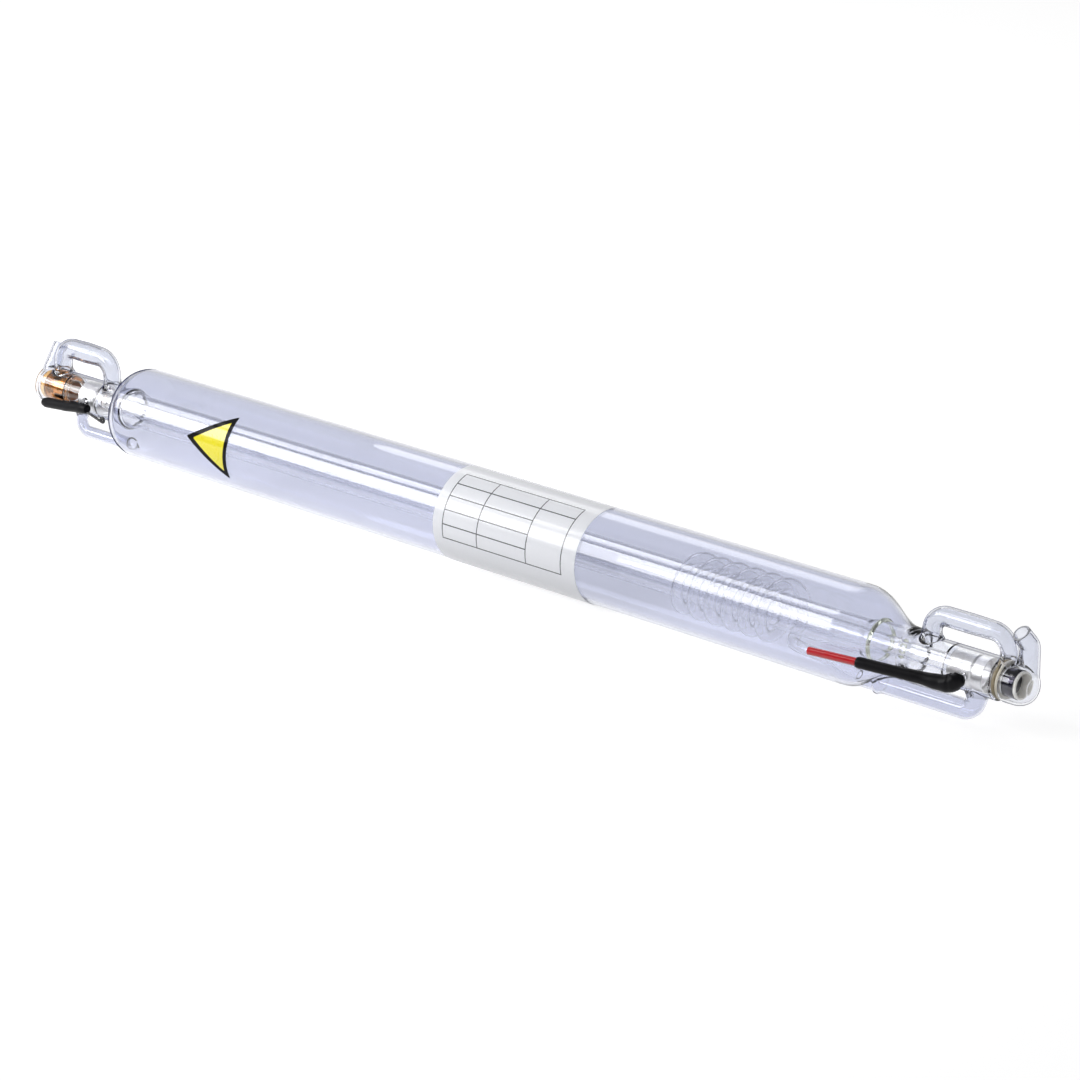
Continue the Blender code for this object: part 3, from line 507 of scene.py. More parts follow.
def outer_outline():
    """Outside the glass from the aperture to the anode's flange, and back through the middle."""
    corner = (OUTPUT_END + CAP_CORNER, NECK_RADIUS - CAP_CORNER)
    fillet = (JACKET_START - OUTER_FILLET, NECK_RADIUS + OUTER_FILLET)
    outline = [(OUTPUT_END, APERTURE), *arc(corner, CAP_CORNER, 180, 90, 10)]
    outline += level(OUTPUT_END + CAP_CORNER, fillet[0], NECK_RADIUS)
    outline += arc(fillet, OUTER_FILLET, -90, 0, 6)
    outline += jacket_side(0.0)
    neck = JACKET_TIP + TIP_RUN
    outline += wave(JACKET_TIP, neck, NECK_RADIUS + JACKET_WALL, NECK_RADIUS, 10)[1:]
    outline += level(neck, ANODE_FLANGE, NECK_RADIUS)
    outline += [(ANODE_FLANGE, NECK_RADIUS), (ANODE_FLANGE, BEAM_HOLE), (ANODE_FLANGE - FLANGE, BEAM_HOLE)]
    outline += [(ANODE_FLANGE - FLANGE, INNER_RADIUS)]
    outline += level(ANODE_FLANGE - FLANGE, ANODE_WATER_END, INNER_RADIUS)
    outline += [(ANODE_WATER_END, INNER_RADIUS), (ANODE_WATER_END, DISCHARGE_RADIUS)]
    rims = (ANODE_WATER_END + DISCHARGE_REACH, CATHODE_WATER_END - DISCHARGE_REACH)
    ease = 0.0003
    for rim, inward in zip(rims, (-1, 1)):
        lip = [(rim + inward * ease, DISCHARGE_RADIUS), (rim, DISCHARGE_RADIUS - ease),
               (rim, DISCHARGE_RADIUS - DISCHARGE_WALL)]
        outline += lip if inward < 0 else lip[::-1]
    outline += [(CATHODE_WATER_END, DISCHARGE_RADIUS), (CATHODE_WATER_END, INNER_RADIUS)]
    outline += level(CATHODE_WATER_END, CATHODE_FLANGE + FLANGE, INNER_RADIUS)
    outline += [(CATHODE_FLANGE + FLANGE, INNER_RADIUS), (CATHODE_FLANGE + FLANGE, BEAM_HOLE)]
    outline += [(CATHODE_FLANGE, BEAM_HOLE), (CATHODE_FLANGE, INNER_RADIUS)]
    front = OUTPUT_END + CAP_FRONT
    rounded_front = [(front + 0.0018, INNER_RADIUS), (front + 0.0005, INNER_RADIUS - 0.0006),
                     (front, INNER_RADIUS - 0.0016), (front, APERTURE)]
    return outline + level(CATHODE_FLANGE, rounded_front[0][0], INNER_RADIUS) + rounded_front


def gas_space():
    """The space between the water jacket and the gas jacket."""
    fillet = (JACKET_START + JACKET_WALL + INNER_FILLET, NECK_RADIUS + INNER_FILLET)
    outline = arc(fillet, INNER_FILLET, 180, 270, 10)
    outline += wave(OUTPUT_NECK_END, OUTPUT_NECK_END + NECK_FLARE, NECK_RADIUS, WATER_RADIUS, 12)
    outline += wave(REAR_NECK_END - NECK_FLARE, REAR_NECK_END, WATER_RADIUS, NECK_RADIUS, 12)
    outline += [(JACKET_TIP - TIP_ROOM, NECK_RADIUS)]
    return outline + jacket_side(JACKET_WALL)[::-1]


def water_space():
    """The space between the discharge tube and the water jacket."""
    start, end = CATHODE_WATER_END + WATER_WALL, ANODE_WATER_END - WATER_WALL
    outline = [(start, DISCHARGE_RADIUS), (end, DISCHARGE_RADIUS), (end, INNER_RADIUS)]
    outline += level(end, REAR_NECK_END, INNER_RADIUS)
    water = WATER_RADIUS - WATER_WALL
    outline += wave(REAR_NECK_END, REAR_NECK_END - NECK_FLARE, INNER_RADIUS, water, 12)
    outline += wave(OUTPUT_NECK_END + NECK_FLARE, OUTPUT_NECK_END, water, INNER_RADIUS, 12)
    outline += level(OUTPUT_NECK_END, start, INNER_RADIUS)
    return outline + [(start, INNER_RADIUS)]


def glass_part(x, radius):
    """0 for the gas jacket, 1 for the ends, 2 for the tubes inside the jacket and 3 for the outside
    of the jacket's shoulder."""
    if not JACKET_START - 0.0001 < x < LOOK_EDGE:
        return 1
    from_shoulder = hypot(x - SHOULDER_CENTRE[0], radius - SHOULDER_CENTRE[1])
    if x < SHOULDER_CENTRE[0] and from_shoulder > JACKET_SHOULDER - 0.0004:
        return 3
    return 0 if radius > NECK_RADIUS + 0.0013 else 2


def foot_spread(point, host, entry):
    """How far a side tube spreads at a point, near the neck that it stands on, and near the place
    along X where it enters the gas jacket. A stub at the very end of a cap has no room to spread."""
    if host is None:
        return 0.0
    heights = [from_axis(point) - host + FOOT_DEPTH]
    if entry is not None:
        heights.append(abs(point.x - entry))
    return FOOT_SPREAD * exp(-max(min(heights), 0.0) / FOOT_LENGTH)


def side_arm(name, corners, bend, stops, look, host, cope, entry=None, wall=TUBE_WALL, end_open=False):
    """A fused side tube: its outside, coped to the glass it stands on, and the bore through it."""
    route = dense(rounded(corners, bend), ROUTE_SPACING)
    radii = shared(route, stops)
    outside = [radius + foot_spread(point, host, entry) for point, radius in zip(route, radii)]
    if end_open:
        last = (route[-1] - route[-2]).normalized()
        route[-1:] = [route[-1] - last * MOUTH_EASE, route[-1]]
        outside[-1:] = [radii[-1], radii[-1] - MOUTH_EASE]
        radii[-1:] = [radii[-1], radii[-1] + MOUTH_FLARE]
    outer = rod(name, route, outside, look)
    combine(outer, "DIFFERENCE", [turned(name + "_cope", cope, [])])
    past = PAST_MOUTH if end_open or entry is not None else 0.0
    inner_route = [*route[:-1], route[-1] + (route[-1] - route[-2]).normalized() * past]
    bores = [radius - wall for radius in radii]
    if entry is not None:
        bores = [radius + BORE_FLARE * exp(-abs(point.x - entry) / FOOT_LENGTH)
                 for radius, point in zip(bores, inner_route)]
    return outer, rod(name + "_bore", inner_route, bores, look)


def filled(outline):
    return [(outline[0][0], 0.0), *outline, (outline[-1][0], 0.0)]


def long_rod(radius):
    """The outline of a cutter for what stands on a neck, longer than the tube at both ends."""
    return filled([(OUTPUT_END - 0.05, radius - FUSED_DEPTH), (REAR_END + 0.05, radius - FUSED_DEPTH)])


def bridge_corners(end, inward, height, cap_inset, neck_inset, splay):
    cap_x, neck_x = end + inward * cap_inset, end + inward * neck_inset
    return [axis_point(cap_x, 0, ARM_ROOT), axis_point(cap_x + inward * splay, 0, height),
            axis_point(neck_x - inward * splay, 0, height), axis_point(neck_x, 0, ARM_ROOT)]


def link_corners(place, drop, end):
    points = ((place, ARM_ROOT), (place, drop), (end, drop))
    return [round_axis(x, radius, LINK_ANGLE) for x, radius in points]


def side_arms(end_look, jacket_look):
    """The two water bridges, the two hose stubs and the two gas links, as pairs of outside and bore."""
    neck_cope = long_rod(NECK_RADIUS)
    cap_cope = filled([(REAR_CAP_START - 0.02, REAR_CAP_RADIUS - FUSED_DEPTH), *dome(-FUSED_DEPTH)[:-1]])
    link_copes = [neck_cope, filled(jacket_side(JACKET_WALL * 0.5))]
    output_bridge = bridge_corners(OUTPUT_END, 1, **OUTPUT_BRIDGE)
    rear_bridge = bridge_corners(REAR_END, -1, **REAR_BRIDGE)
    arms = [
        side_arm("output_bridge", output_bridge, BRIDGE_BEND, OUTPUT_BRIDGE_RADII, end_look, NECK_RADIUS,
                 [neck_cope]),
        side_arm("rear_bridge", rear_bridge, BRIDGE_BEND, REAR_BRIDGE_RADII, end_look, NECK_RADIUS,
                 [long_rod(REAR_CAP_RADIUS)]),
        side_arm("output_stub", from_output(OUTPUT_STUB), STUB_BEND, OUTPUT_STUB_RADII, end_look, None,
                 [neck_cope], end_open=True),
        side_arm("rear_stub", from_rear(REAR_STUB), STUB_BEND, REAR_STUB_RADII, end_look, None,
                 [cap_cope], end_open=True),
    ]
    links = (("cathode_link", CATHODE_LINK, CATHODE_LINK_RADIUS, CATHODE_LINK_WALL),
             ("anode_link", ANODE_LINK, ANODE_LINK_RADIUS, TUBE_WALL))
    for name, (place, drop, entry, end), radius, wall in links:
        arms.append(side_arm(name, link_corners(place, drop, end), LINK_BEND, [radius] * 2, jacket_look,
                             NECK_RADIUS, link_copes, entry, wall))
    return arms


def pin_beads(look):
    """The bead of glass round each electrode's pin, as pairs of bead and hole."""
    steps = 12
    beads = []
    for x, reach in PINS.values():
        root, top = axis_point(x, -INNER_RADIUS - 0.0003), axis_point(x, -NECK_RADIUS - BEAD_HEIGHT)
        shares = [step / steps for step in range(steps + 1)]
        swell = [max(0.04, 1 - max(0.0, share - 0.45) ** 2 / 0.32) for share in shares]
        bead = rod("bead", [root.lerp(top, share) for share in shares],
                   [BEAD_RADIUS * sqrt(width) for width in swell], look)
        hole = [axis_point(x, -INNER_RADIUS + 0.0010), axis_point(x, -NECK_RADIUS - reach)]
        beads.append((bead, rod("hole", hole, [PIN_RADIUS + SEAT] * 2, look, 24)))
    return beads


def finish_rims(glass, look):
    """The cut mouths of the two hose stubs get a look of their own."""
    glass.data.materials.append(look)
    stubs = ((from_output(OUTPUT_STUB), OUTPUT_STUB_RADII), (from_rear(REAR_STUB), REAR_STUB_RADII))
    for route, radii in stubs:
        onward = (route[-1] - route[-2]).normalized()
        widest = radii[-1] + 0.0005
        for face in glass.data.polygons:
            reach = face.center - route[-1]
            if abs(reach.dot(onward)) < MOUTH_EASE + 0.00001 and reach.length < widest:
                face.material_index = len(glass.data.materials) - 1


def make_blown_glass(looks):
    glasses = [looks[name] for name in ("jacket_glass", "cap_glass", "inner_glass", "shoulder_glass")]
    cap = dome(0.0) + dome(-NECK_WALL)[::-1]
    glass = turned("blown_glass", [outer_outline(), gas_space(), water_space(), cap], glasses,
                   pick=glass_part)
    arms = side_arms(looks["end_glass"], looks["jacket_glass"]) + pin_beads(looks["end_glass"])
    combine(glass, "UNION", [outer for outer, bore in arms])
    combine(glass, "DIFFERENCE", [bore for outer, bore in arms])
    finish_rims(glass, looks["rim_glass"])
    glass.data.shade_smooth()
    glass.data.set_sharp_from_angle(angle=radians(50))
    return dress(glass, "borosilicate_glass", "outer_jacket", "water_jacket", "discharge_tube",
                 "output_seam_ring", "cathode_chamber", "anode_chamber", "output_cap", "rear_cap",
                 "output_water_bridge", "rear_water_bridge", "output_hose_stub", "rear_hose_stub",
                 "cathode_gas_link", "anode_gas_link", "cathode_pin_bead", "anode_pin_bead")


# Gas return

def make_coil(look):
    """The winding round the water jacket, and its run-out to the mouth of the anode's gas link."""
    count = round(COIL_TURNS * COIL_STEPS)
    route = []
    for step in range(count + 1):
        turns = COIL_TURNS * (step / count - 1)
        inward = (COIL_ROOM - GAP) * max(0.0, 1 - step / (COIL_STEPS / 2))
        angle = COIL_LAST_ANGLE - 360 * turns
        route.append(round_axis(COIL_END + COIL_PITCH * turns, COIL_RADIUS - inward, angle))
    wide, narrow = JACKET_RADIUS - JACKET_WALL, NECK_RADIUS + GAP
    mouth = RUN_OUT_DROP + COIL_TUBE_RADIUS + 2 * GAP
    share = acos((2 * mouth - wide - narrow) / (wide - narrow)) / pi
    stops = [route[-5], route[-1]]
    stops += [round_axis(COIL_END + past, radius, angle) for past, radius, angle in RUN_OUT_POINTS]
    stops.append(round_axis(TAPER_START + share * (JACKET_TIP - TAPER_START), RUN_OUT_DROP, LINK_ANGLE))
    route[-5:] = smooth_route(stops, 8)
    route = dense(route, COIL_SPACING)
    radii = [COIL_TUBE_RADIUS] * len(route)
    radii[0] -= COIL_RIM_EASE
    radii[-1] -= COIL_RIM_EASE
    coil = open_tube("gas_return_coil", route, radii, COIL_TUBE_WALL, look, 32)
    dress(coil, "borosilicate_glass", "gas_return_coil")


def make_rear_seam(look):
    """A bead with a rounded back, where the neck was sealed."""
    foot = NECK_RADIUS + 2 * SEAT
    end = REAR_SEAM_START + SEAM_WIDTH
    shares = [step / 10 for step in range(1, 10)]
    back = [(REAR_SEAM_START + SEAM_WIDTH * share, foot + SEAM_HEIGHT * sin(pi * share) ** 0.7)
            for share in shares]
    inside = [(end, foot - SEAT), (REAR_SEAM_START, foot - SEAT)]
    outline = [(REAR_SEAM_START, foot), *back, (end, foot), *inside]
    dress(turned("rear_seam_ring", [outline], [look]), "seam_glass", "rear_seam_ring")


# Electrodes

def rolled_sheet(near, far, groove=None):
    """The outline of an electrode's thin cylinder, with rolled rims, and a groove pressed round it."""
    outward = 1 if far > near else -1
    radius, wall = ELECTRODE_RADIUS, ELECTRODE_WALL
    # Points of (distance in from the rim, height as a share of the wall)
    roll = ((0.0, -0.5), (0.0002, 0.18), (0.0006, 0.0), (0.0010, -0.2))
    outside = [(near + outward * inset, radius + wall * share) for inset, share in roll]
    if groove:
        outside += wave(groove - GROOVE_SIDE, groove, radius, radius - GROOVE_DEPTH, 8)
        outside += wave(groove, groove + GROOVE_SIDE, radius - GROOVE_DEPTH, radius, 8)[1:]
    outside += [(far - outward * inset, radius + wall * share) for inset, share in roll[::-1]]
    inside = [(x, height - wall) for x, height in outside[1:-1]]
    whole = outside + inside[::-1]
    return whole if outward > 0 else whole[::-1]


def make_electrodes(looks):
    cylinders = (
        ("cathode_cylinder", rolled_sheet(CATHODE_NEAR, CATHODE_FAR)),
        ("anode_cylinder", rolled_sheet(ANODE_NEAR, ANODE_FAR, GROOVE)),
    )
    for name, outline in cylinders:
        dress(turned(name, [outline], [looks["electrode_metal"]]), "electrode_metal", name)
    for name, (x, reach) in PINS.items():
        root, tip = -ELECTRODE_RADIUS - SEAT, -NECK_RADIUS - reach
        places = (root, root - 0.0004, (root + tip) / 2, tip + 0.0004, tip)
        radii = [PIN_RADIUS] * 4 + [PIN_RADIUS * 0.6]
        pin = rod(name, [axis_point(x, place) for place in places], radii, looks["pin_metal"], 24)
        dress(pin, "pin_metal", name)


# Mirrors

def collar(start, end, outer, inner, round_off=0.0003):
    """The outline of a ring with eased edges."""
    ease = min(round_off, (end - start) / 3, (outer - inner) / 3)
    return [(start, outer - ease), (start + ease * 0.3, outer - ease * 0.3), (start + ease, outer),
            (end - ease, outer), (end - ease * 0.3, outer - ease * 0.3), (end, outer - ease),
            (end, inner + ease), (end - ease * 0.3, inner + ease * 0.3), (end - ease, inner),
            (start + ease, inner), (start + ease * 0.3, inner + ease * 0.3), (start, inner + ease)]


def hollowed_face(start, radius):
    """The hollowed first face of a mirror, from the axis to its eased edge."""
    shares = [step / 8 for step in range(8)]
    face = [(start + MIRROR_DISH * (1 - share**2), radius * share) for share in shares]
    return [*face, (start, radius - 0.0002), (start + 0.0002, radius)]


def make_output_mirror(looks):
    start = OUTPUT_END + CAP_FRONT + GAP
    back = start + RETAINER_LENGTH
    nose = [(start + 0.0008, APERTURE + 0.0001), (start + 0.0010, APERTURE + 0.0006),
            (start + 0.0016, APERTURE + 0.0014), (back - 0.0002, HOLDER_RADIUS - 0.0007),
            (back, HOLDER_RADIUS - 0.0009), (back, APERTURE)]
    dress(turned("coupler_retainer", [nose], [looks["old_copper"]]), "copper", "coupler_retainer")
    start = back + GAP
    back = start + COUPLER_THICKNESS
    radius = HOLDER_RADIUS - GAP
    blank = [*hollowed_face(start, radius), (back - 0.0002, radius), (back, radius - 0.0002), (back, 0.0)]
    coupler = turned("output_coupler", [blank], [looks["coupler_crystal"]])
    dress(coupler, "coupler_crystal", "output_coupler")
    outline = collar(back + GAP, CATHODE_FLANGE - GAP, HOLDER_RADIUS, HOLDER_RADIUS - HOLDER_WALL)
    holder = turned("output_mirror_holder", [outline], [looks["copper"], looks["bright_copper"]],
                    pick=lambda x, radius: int(radius < HOLDER_RADIUS - HOLDER_WALL * 0.5))
    dress(holder, "copper", "output_mirror_holder")


def make_rear_mirror(looks):
    start = ANODE_FLANGE + GAP
    for name, finish in (("rear_seal_inner", "brown_resin"), ("rear_seal_outer", "beige_resin")):
        outline = collar(start, start + SEAL_LENGTH, REAR_CAP_RADIUS - GAP, SEAL_BORE, 0.0005)
        dress(turned(name, [outline], [looks[finish]]), finish, name)
        start += SEAL_LENGTH + GAP
    back, rim = start + REFLECTOR_PLATE, start + REFLECTOR_LENGTH
    cup = [(rim - 0.0002, REFLECTOR_RADIUS), (rim, REFLECTOR_RADIUS - 0.0002), (rim, CELL_RADIUS + SEAT),
           (back, CELL_RADIUS + SEAT), (back, 0.0)]
    outline = hollowed_face(start, REFLECTOR_RADIUS) + cup
    dress(turned("total_reflector", [outline], [looks["mirror_face"]]), "mirror_face", "total_reflector")
    start = back + GAP
    outline = collar(start, start + CELL_LENGTH, CELL_RADIUS, CELL_RADIUS - CELL_WALL)
    dress(turned("reflector_cell", [outline], [looks["mirror_cell"]]), "mirror_cell", "reflector_cell")


# Leads

def make_cord(looks):
    """The high voltage lead, which leaves the anode's sleeve and ends cut."""
    route = smooth_route(from_rear(HV_WIRE), 6)
    curve = bpy.data.curves.new("hv_lead", "CURVE")
    curve.dimensions = "3D"
    curve.bevel_depth = HV_WIRE_RADIUS
    curve.bevel_resolution = 10
    curve.use_fill_caps = True
    spline = curve.splines.new("POLY")
    spline.points.add(len(route) - 1)
    for place, point in zip(spline.points, route):
        place.co = (*point, 1.0)
    curve.materials.append(looks["red_silicone"])
    lead = bpy.data.objects.new("hv_lead_wire", curve)
    bpy.context.scene.collection.objects.link(lead)
    dress(lead, "red_silicone", "hv_lead")


def anode_wrinkles(share, turn):
    """Creases where the shrunk sleeve bends over the pin, dying out along the wire."""
    bent = exp(-((share - 0.22) / 0.16) ** 2)
    fold = sin(38 * share + 2.0 * sin(turn + 1.0)) * 0.5 + sin(71 * share + 3 * turn) * 0.25
    return (0.00022 * bent + 0.00003) * fold


def cathode_wrinkles(share, turn):
    return 0.00005 * sin(26 * share + 2 * sin(turn)) + 0.00003 * sin(47 * share + 3 * turn)


def make_sleeve(name, points, stops, rims, steps, swell, wrinkles, look):
    """A shrunk sleeve. swell turns an even share between two stops into the share of their change."""
    radii = []
    for before, after in zip(stops, stops[1:]):
        radii += [before + (after - before) * swell(step / steps) for step in range(steps)]
    radii.append(stops[-1])
    radii[0], radii[-1] = rims
    sleeve = rod(name, smooth_route(points, steps), radii, look, 48, wrinkles)
    dress(sleeve, "heat_shrink", name)


def make_sleeves(look):
    make_sleeve("anode_sleeve", from_rear(ANODE_SLEEVE), ANODE_SLEEVE_RADII, ANODE_SLEEVE_RIMS, 10,
                lambda share: (1 - cos(pi * share)) / 2, anode_wrinkles, look)
    make_sleeve("cathode_sleeve", from_output(CATHODE_SLEEVE), CATHODE_SLEEVE_RADII, CATHODE_SLEEVE_RIMS, 8,
                lambda share: share, cathode_wrinkles, look)


def make_tail(look):
    """The short bare wire at the cathode's sleeve, with an eye at its end."""
    root, bend, end = from_output(TAIL)
    along = (end - bend).normalized()
    across = Vector((0, -1, 0)).cross(along).normalized()
    centre = end + across * EYE_RADIUS
    tail = smooth_route([root, bend, bend.lerp(end, 0.5)], 8)
    steps = 40
    for step in range(steps):
        angle = 2 * pi * step / steps * EYE_TURN
        tail.append(centre - across * (EYE_RADIUS * cos(angle)) + along * (EYE_RADIUS * sin(angle)))
    wire = rod("cathode_tail", tail, [TAIL_RADIUS] * len(tail), look, 20)
    dress(wire, "tail_wire", "cathode_tail")


# Label and sticker

def wrapped(bm, rows, base, thickness):
    """A thin sheet round the jacket, from rows of (angle, first x, last x)."""
    loops = []
    for angle, first, last in rows:
        places = ((first, base), (last, base), (last, base + thickness), (first, base + thickness))
        loops.append([bm.verts.new(round_axis(x, radius, angle)) for x, radius in places])
    skin(bm, loops)
    bm.faces.new(loops[0])
    bm.faces.new(loops[-1])


def angles_between(first, last, spacing=1.5):
    steps = max(1, round(abs(last - first) / spacing))
    return [first + (last - first) * step / steps for step in range(steps + 1)]


def sheet_piece(bm, name, look):
    bmesh.ops.recalc_face_normals(bm, faces=bm.faces)
    return settle(bm, name, [look])


def make_label(looks):
    """The paper, and the empty table's lines on it as thin strips of ink."""
    base = JACKET_RADIUS + SEAT
    bm = bmesh.new()
    wrapped(bm, [(angle, LABEL_START, LABEL_START + LABEL_LENGTH)
                 for angle in angles_between(LABEL_TOP, LABEL_BOTTOM)], base, PAPER)
    dress(sheet_piece(bm, "label", looks["label_paper"]), "label_paper", "label")
    bm = bmesh.new()
    top = base + PAPER
    half = LINE_WIDTH / 2
    bend = 180 / pi / JACKET_RADIUS
    rows = [TABLE_TOP + step * TABLE_ROW for step in range(TABLE_LINES)]
    for place, row in enumerate(rows):
        start = TABLE_COLUMNS[0] - half
        end = TABLE_COLUMNS[-1 if place in FULL_LINES else -2] + half
        wrapped(bm, [((row + away) * bend, start, end) for away in (-half, half)], top, INK)
    for column in TABLE_COLUMNS:
        wrapped(bm, [(angle, column - half, column + half)
                     for angle in angles_between(rows[0] * bend, rows[-1] * bend)], top, INK * 0.8)
    dress(sheet_piece(bm, "label_table", looks["table_ink"]), "label_paper")


def triangle_rows(inset, corner):
    """Rows of an equal sided triangle that points along -X, set in from the sticker's edge, with
    rounded corners."""
    height = STICKER_SIDE * sqrt(3) / 2
    point = STICKER_CENTRE - height * 2 / 3 + 2 * inset
    base = STICKER_CENTRE + height / 3 - inset
    centre = (base - point) / sqrt(3) - corner * sqrt(3)
    reach = centre + corner
    narrowest = 0.0002
    rows = []
    steps = 64
    for step in range(steps + 1):
        away = reach * (2 * step / steps - 1)
        size = abs(away)
        first = point + size * sqrt(3)
        if size < corner * cos(pi / 6):
            first = point + 2 * corner - sqrt(corner**2 - size**2)
        last = base
        if size > centre:
            past = sqrt(max(0.0, corner**2 - (size - centre) ** 2))
            last = base - corner + past
            if size - centre > corner * 0.5:
                first = base - corner - past
        angle = STICKER_ANGLE + away / JACKET_RADIUS * 180 / pi
        rows.append((angle, first, max(last, first + narrowest)))
    return rows


def make_sticker(looks):
    base = JACKET_RADIUS + SEAT
    layers = (
        ("triangle_sticker", 0.0, 0.0005, base, PAPER, "border_ink", ["triangle_sticker"]),
        ("sticker_face", BORDER_WIDTH, 0.0003, base + PAPER, INK, "sticker_film", []),
    )
    for name, inset, corner, radius, thickness, look, nodes in layers:
        bm = bmesh.new()
        wrapped(bm, triangle_rows(inset, corner), radius, thickness)
        dress(sheet_piece(bm, name, looks[look]), "sticker_film", *nodes)


# Finishes

def feed(tree, value, socket):
    """Links another socket to a node's input, or sets a constant there."""
    if isinstance(value, bpy.types.NodeSocket):
        tree.links.new(value, socket)
    elif socket.type == "RGBA":
        socket.default_value = (*value, 1.0)
    else:
        socket.default_value = value


def node(tree, kind, operation=None, **fed):
    """A new node. What feeds it goes by the names of its sockets, with _ for each space."""
    made = tree.nodes.new(kind)
    if operation:
        made.operation = operation
    for label, value in fed.items():
        feed(tree, value, made.inputs[label.replace("_", " ")])
    return made


def maths(tree, operation, *terms):
    """The result of a Math node over sockets and numbers."""
    made = node(tree, "ShaderNodeMath", operation)
    for term, socket in zip(terms, made.inputs):
        feed(tree, term, socket)
    return made.outputs[0]


def mixed(tree, share, first, second):
    """A shader between two."""
    made = node(tree, "ShaderNodeMixShader")
    for source, socket in zip((share, first, second), made.inputs):
        feed(tree, source, socket)
    return made.outputs[0]


def blend(tree, share, first, second):
    """A colour between two, each a colour or a socket."""
    made = node(tree, "ShaderNodeMix")
    made.data_type = "RGBA"
    for source, place in ((share, 0), (first, 6), (second, 7)):
        feed(tree, source, made.inputs[place])
    return made.outputs[2]


def ramp(tree, value, stops):
    """Grey levels between stops of (position, level)."""
    made = node(tree, "ShaderNodeValToRGB")
    while len(made.color_ramp.elements) < len(stops):
        made.color_ramp.elements.new(0.5)
    for element, (position, grey) in zip(made.color_ramp.elements, stops):
        element.position = position
        element.color = (grey, grey, grey, 1.0)
    feed(tree, value, made.inputs[0])
    return made.outputs[0]


def noise(tree, place, stretch, scale, detail, distortion=0.0):
    """Noise over the object's own coordinates, stretched along each axis. Gives its value."""
    spread = node(tree, "ShaderNodeMapping", Vector=place, Scale=stretch)
    return node(tree, "ShaderNodeTexNoise", Vector=spread.outputs[0], Scale=scale, Detail=detail,
                Distortion=distortion).outputs[0]


def new_group(name, inputs, outputs):
    """An empty node group with named sockets. Gives the group, the sockets that bring values in, those
    that take them out, and the object's own coordinates."""
    kinds = {tuple: "NodeSocketColor", float: "NodeSocketFloat"}
    made = bpy.data.node_groups.new(name, "ShaderNodeTree")
    for label, value in inputs.items():
        kind = kinds[type(value)]
        made.interface.new_socket(label, in_out="INPUT", socket_type=kind).default_value = value
    for label in outputs:
        kind = "NodeSocketColor" if label == "Colour" else "NodeSocketFloat"
        made.interface.new_socket(label, in_out="OUTPUT", socket_type=kind)
    place = node(made, "ShaderNodeTexCoord").outputs["Object"]
    return made, made.nodes.new("NodeGroupInput").outputs, made.nodes.new("NodeGroupOutput").inputs, place


WHITE, BLACK = (1.0, 1.0, 1.0, 1.0), (0.0, 0.0, 0.0, 1.0)


def streak_group():
    """Fine lines along the tube, as drawing leaves them in glass."""
    made, entry, leave, place = new_group("lengthwise_streaks", {"Colour": WHITE, "Streak Colour": WHITE},
                                          ("Colour", "Height"))
    broad = noise(made, place, (0.05, 1.0, 1.0), 130.0, 4.0)
    mask = ramp(made, broad, ((0.42, 0.0), (0.66, 1.0)))
    feed(made, blend(made, mask, entry["Colour"], entry["Streak Colour"]), leave["Colour"])
    feed(made, broad, leave["Height"])
    return made


def turned_group():
    """Rings of fine tool marks round the axis, with stains, as on turned and rolled metal."""
    made, entry, leave, place = new_group(
        "turned_marks", {"Colour": WHITE, "Stain": BLACK, "Stain Size": 200.0, "Roughness": 0.2},
        ("Colour", "Roughness", "Height"))
    marks = noise(made, place, (1.0, 0.04, 0.04), 2600.0, 2.0)
    spots = node(made, "ShaderNodeTexNoise", Vector=place, Scale=entry["Stain Size"], Detail=5.0,
                 Distortion=0.6)
    mask = ramp(made, spots.outputs[0], ((0.46, 0.0), (0.60, 1.0)))
    feed(made, blend(made, mask, entry["Colour"], entry["Stain"]), leave["Colour"])
    feed(made, maths(made, "MULTIPLY_ADD", marks, 0.16, entry["Roughness"]), leave["Roughness"])
    feed(made, marks, leave["Height"])
    return made


def mottle_group():
    """Soft mottling with small darker specks, for resin, paper, film, rubber and sleeves."""
    made, entry, leave, place = new_group(
        "mottle", {"Colour": WHITE, "Mottle": WHITE, "Speck": BLACK, "Size": 300.0, "Roughness": 0.4},
        ("Colour", "Roughness", "Height"))
    cloud = node(made, "ShaderNodeTexNoise", Vector=place, Scale=entry["Size"], Detail=6.0)
    specks = node(made, "ShaderNodeTexVoronoi", Vector=place,
                  Scale=maths(made, "MULTIPLY", entry["Size"], 2.3))
    soft = ramp(made, cloud.outputs[0], ((0.35, 0.0), (0.65, 1.0)))
    dots = ramp(made, specks.outputs["Distance"], ((0.10, 1.0), (0.18, 0.0)))
    ground = blend(made, soft, entry["Colour"], entry["Mottle"])
    feed(made, blend(made, dots, ground, entry["Speck"]), leave["Colour"])
    feed(made, maths(made, "MULTIPLY_ADD", soft, 0.12, entry["Roughness"]), leave["Roughness"])
    feed(made, cloud.outputs[0], leave["Height"])
    return made


def finish_on(name, group, values, bump, **constants):
    """A material: one group of surface detail feeding one Principled shader."""
    made = bpy.data.materials.new(name)
    made.use_nodes = True
    tree = made.node_tree
    shader = tree.nodes["Principled BSDF"]
    detail = tree.nodes.new("ShaderNodeGroup")
    detail.node_tree = group
    for label, value in values.items():
        feed(tree, value, detail.inputs[label])
    feed(tree, detail.outputs["Colour"], shader.inputs["Base Color"])
    if "Roughness" in detail.outputs:
        feed(tree, detail.outputs["Roughness"], shader.inputs["Roughness"])
    if bump:
        relief = node(tree, "ShaderNodeBump", Strength=1.0, Distance=bump, Height=detail.outputs["Height"])
        feed(tree, relief.outputs[0], shader.inputs["Normal"])
    for label, value in constants.items():
        shader.inputs[label.replace("_", " ")].default_value = value
    return made


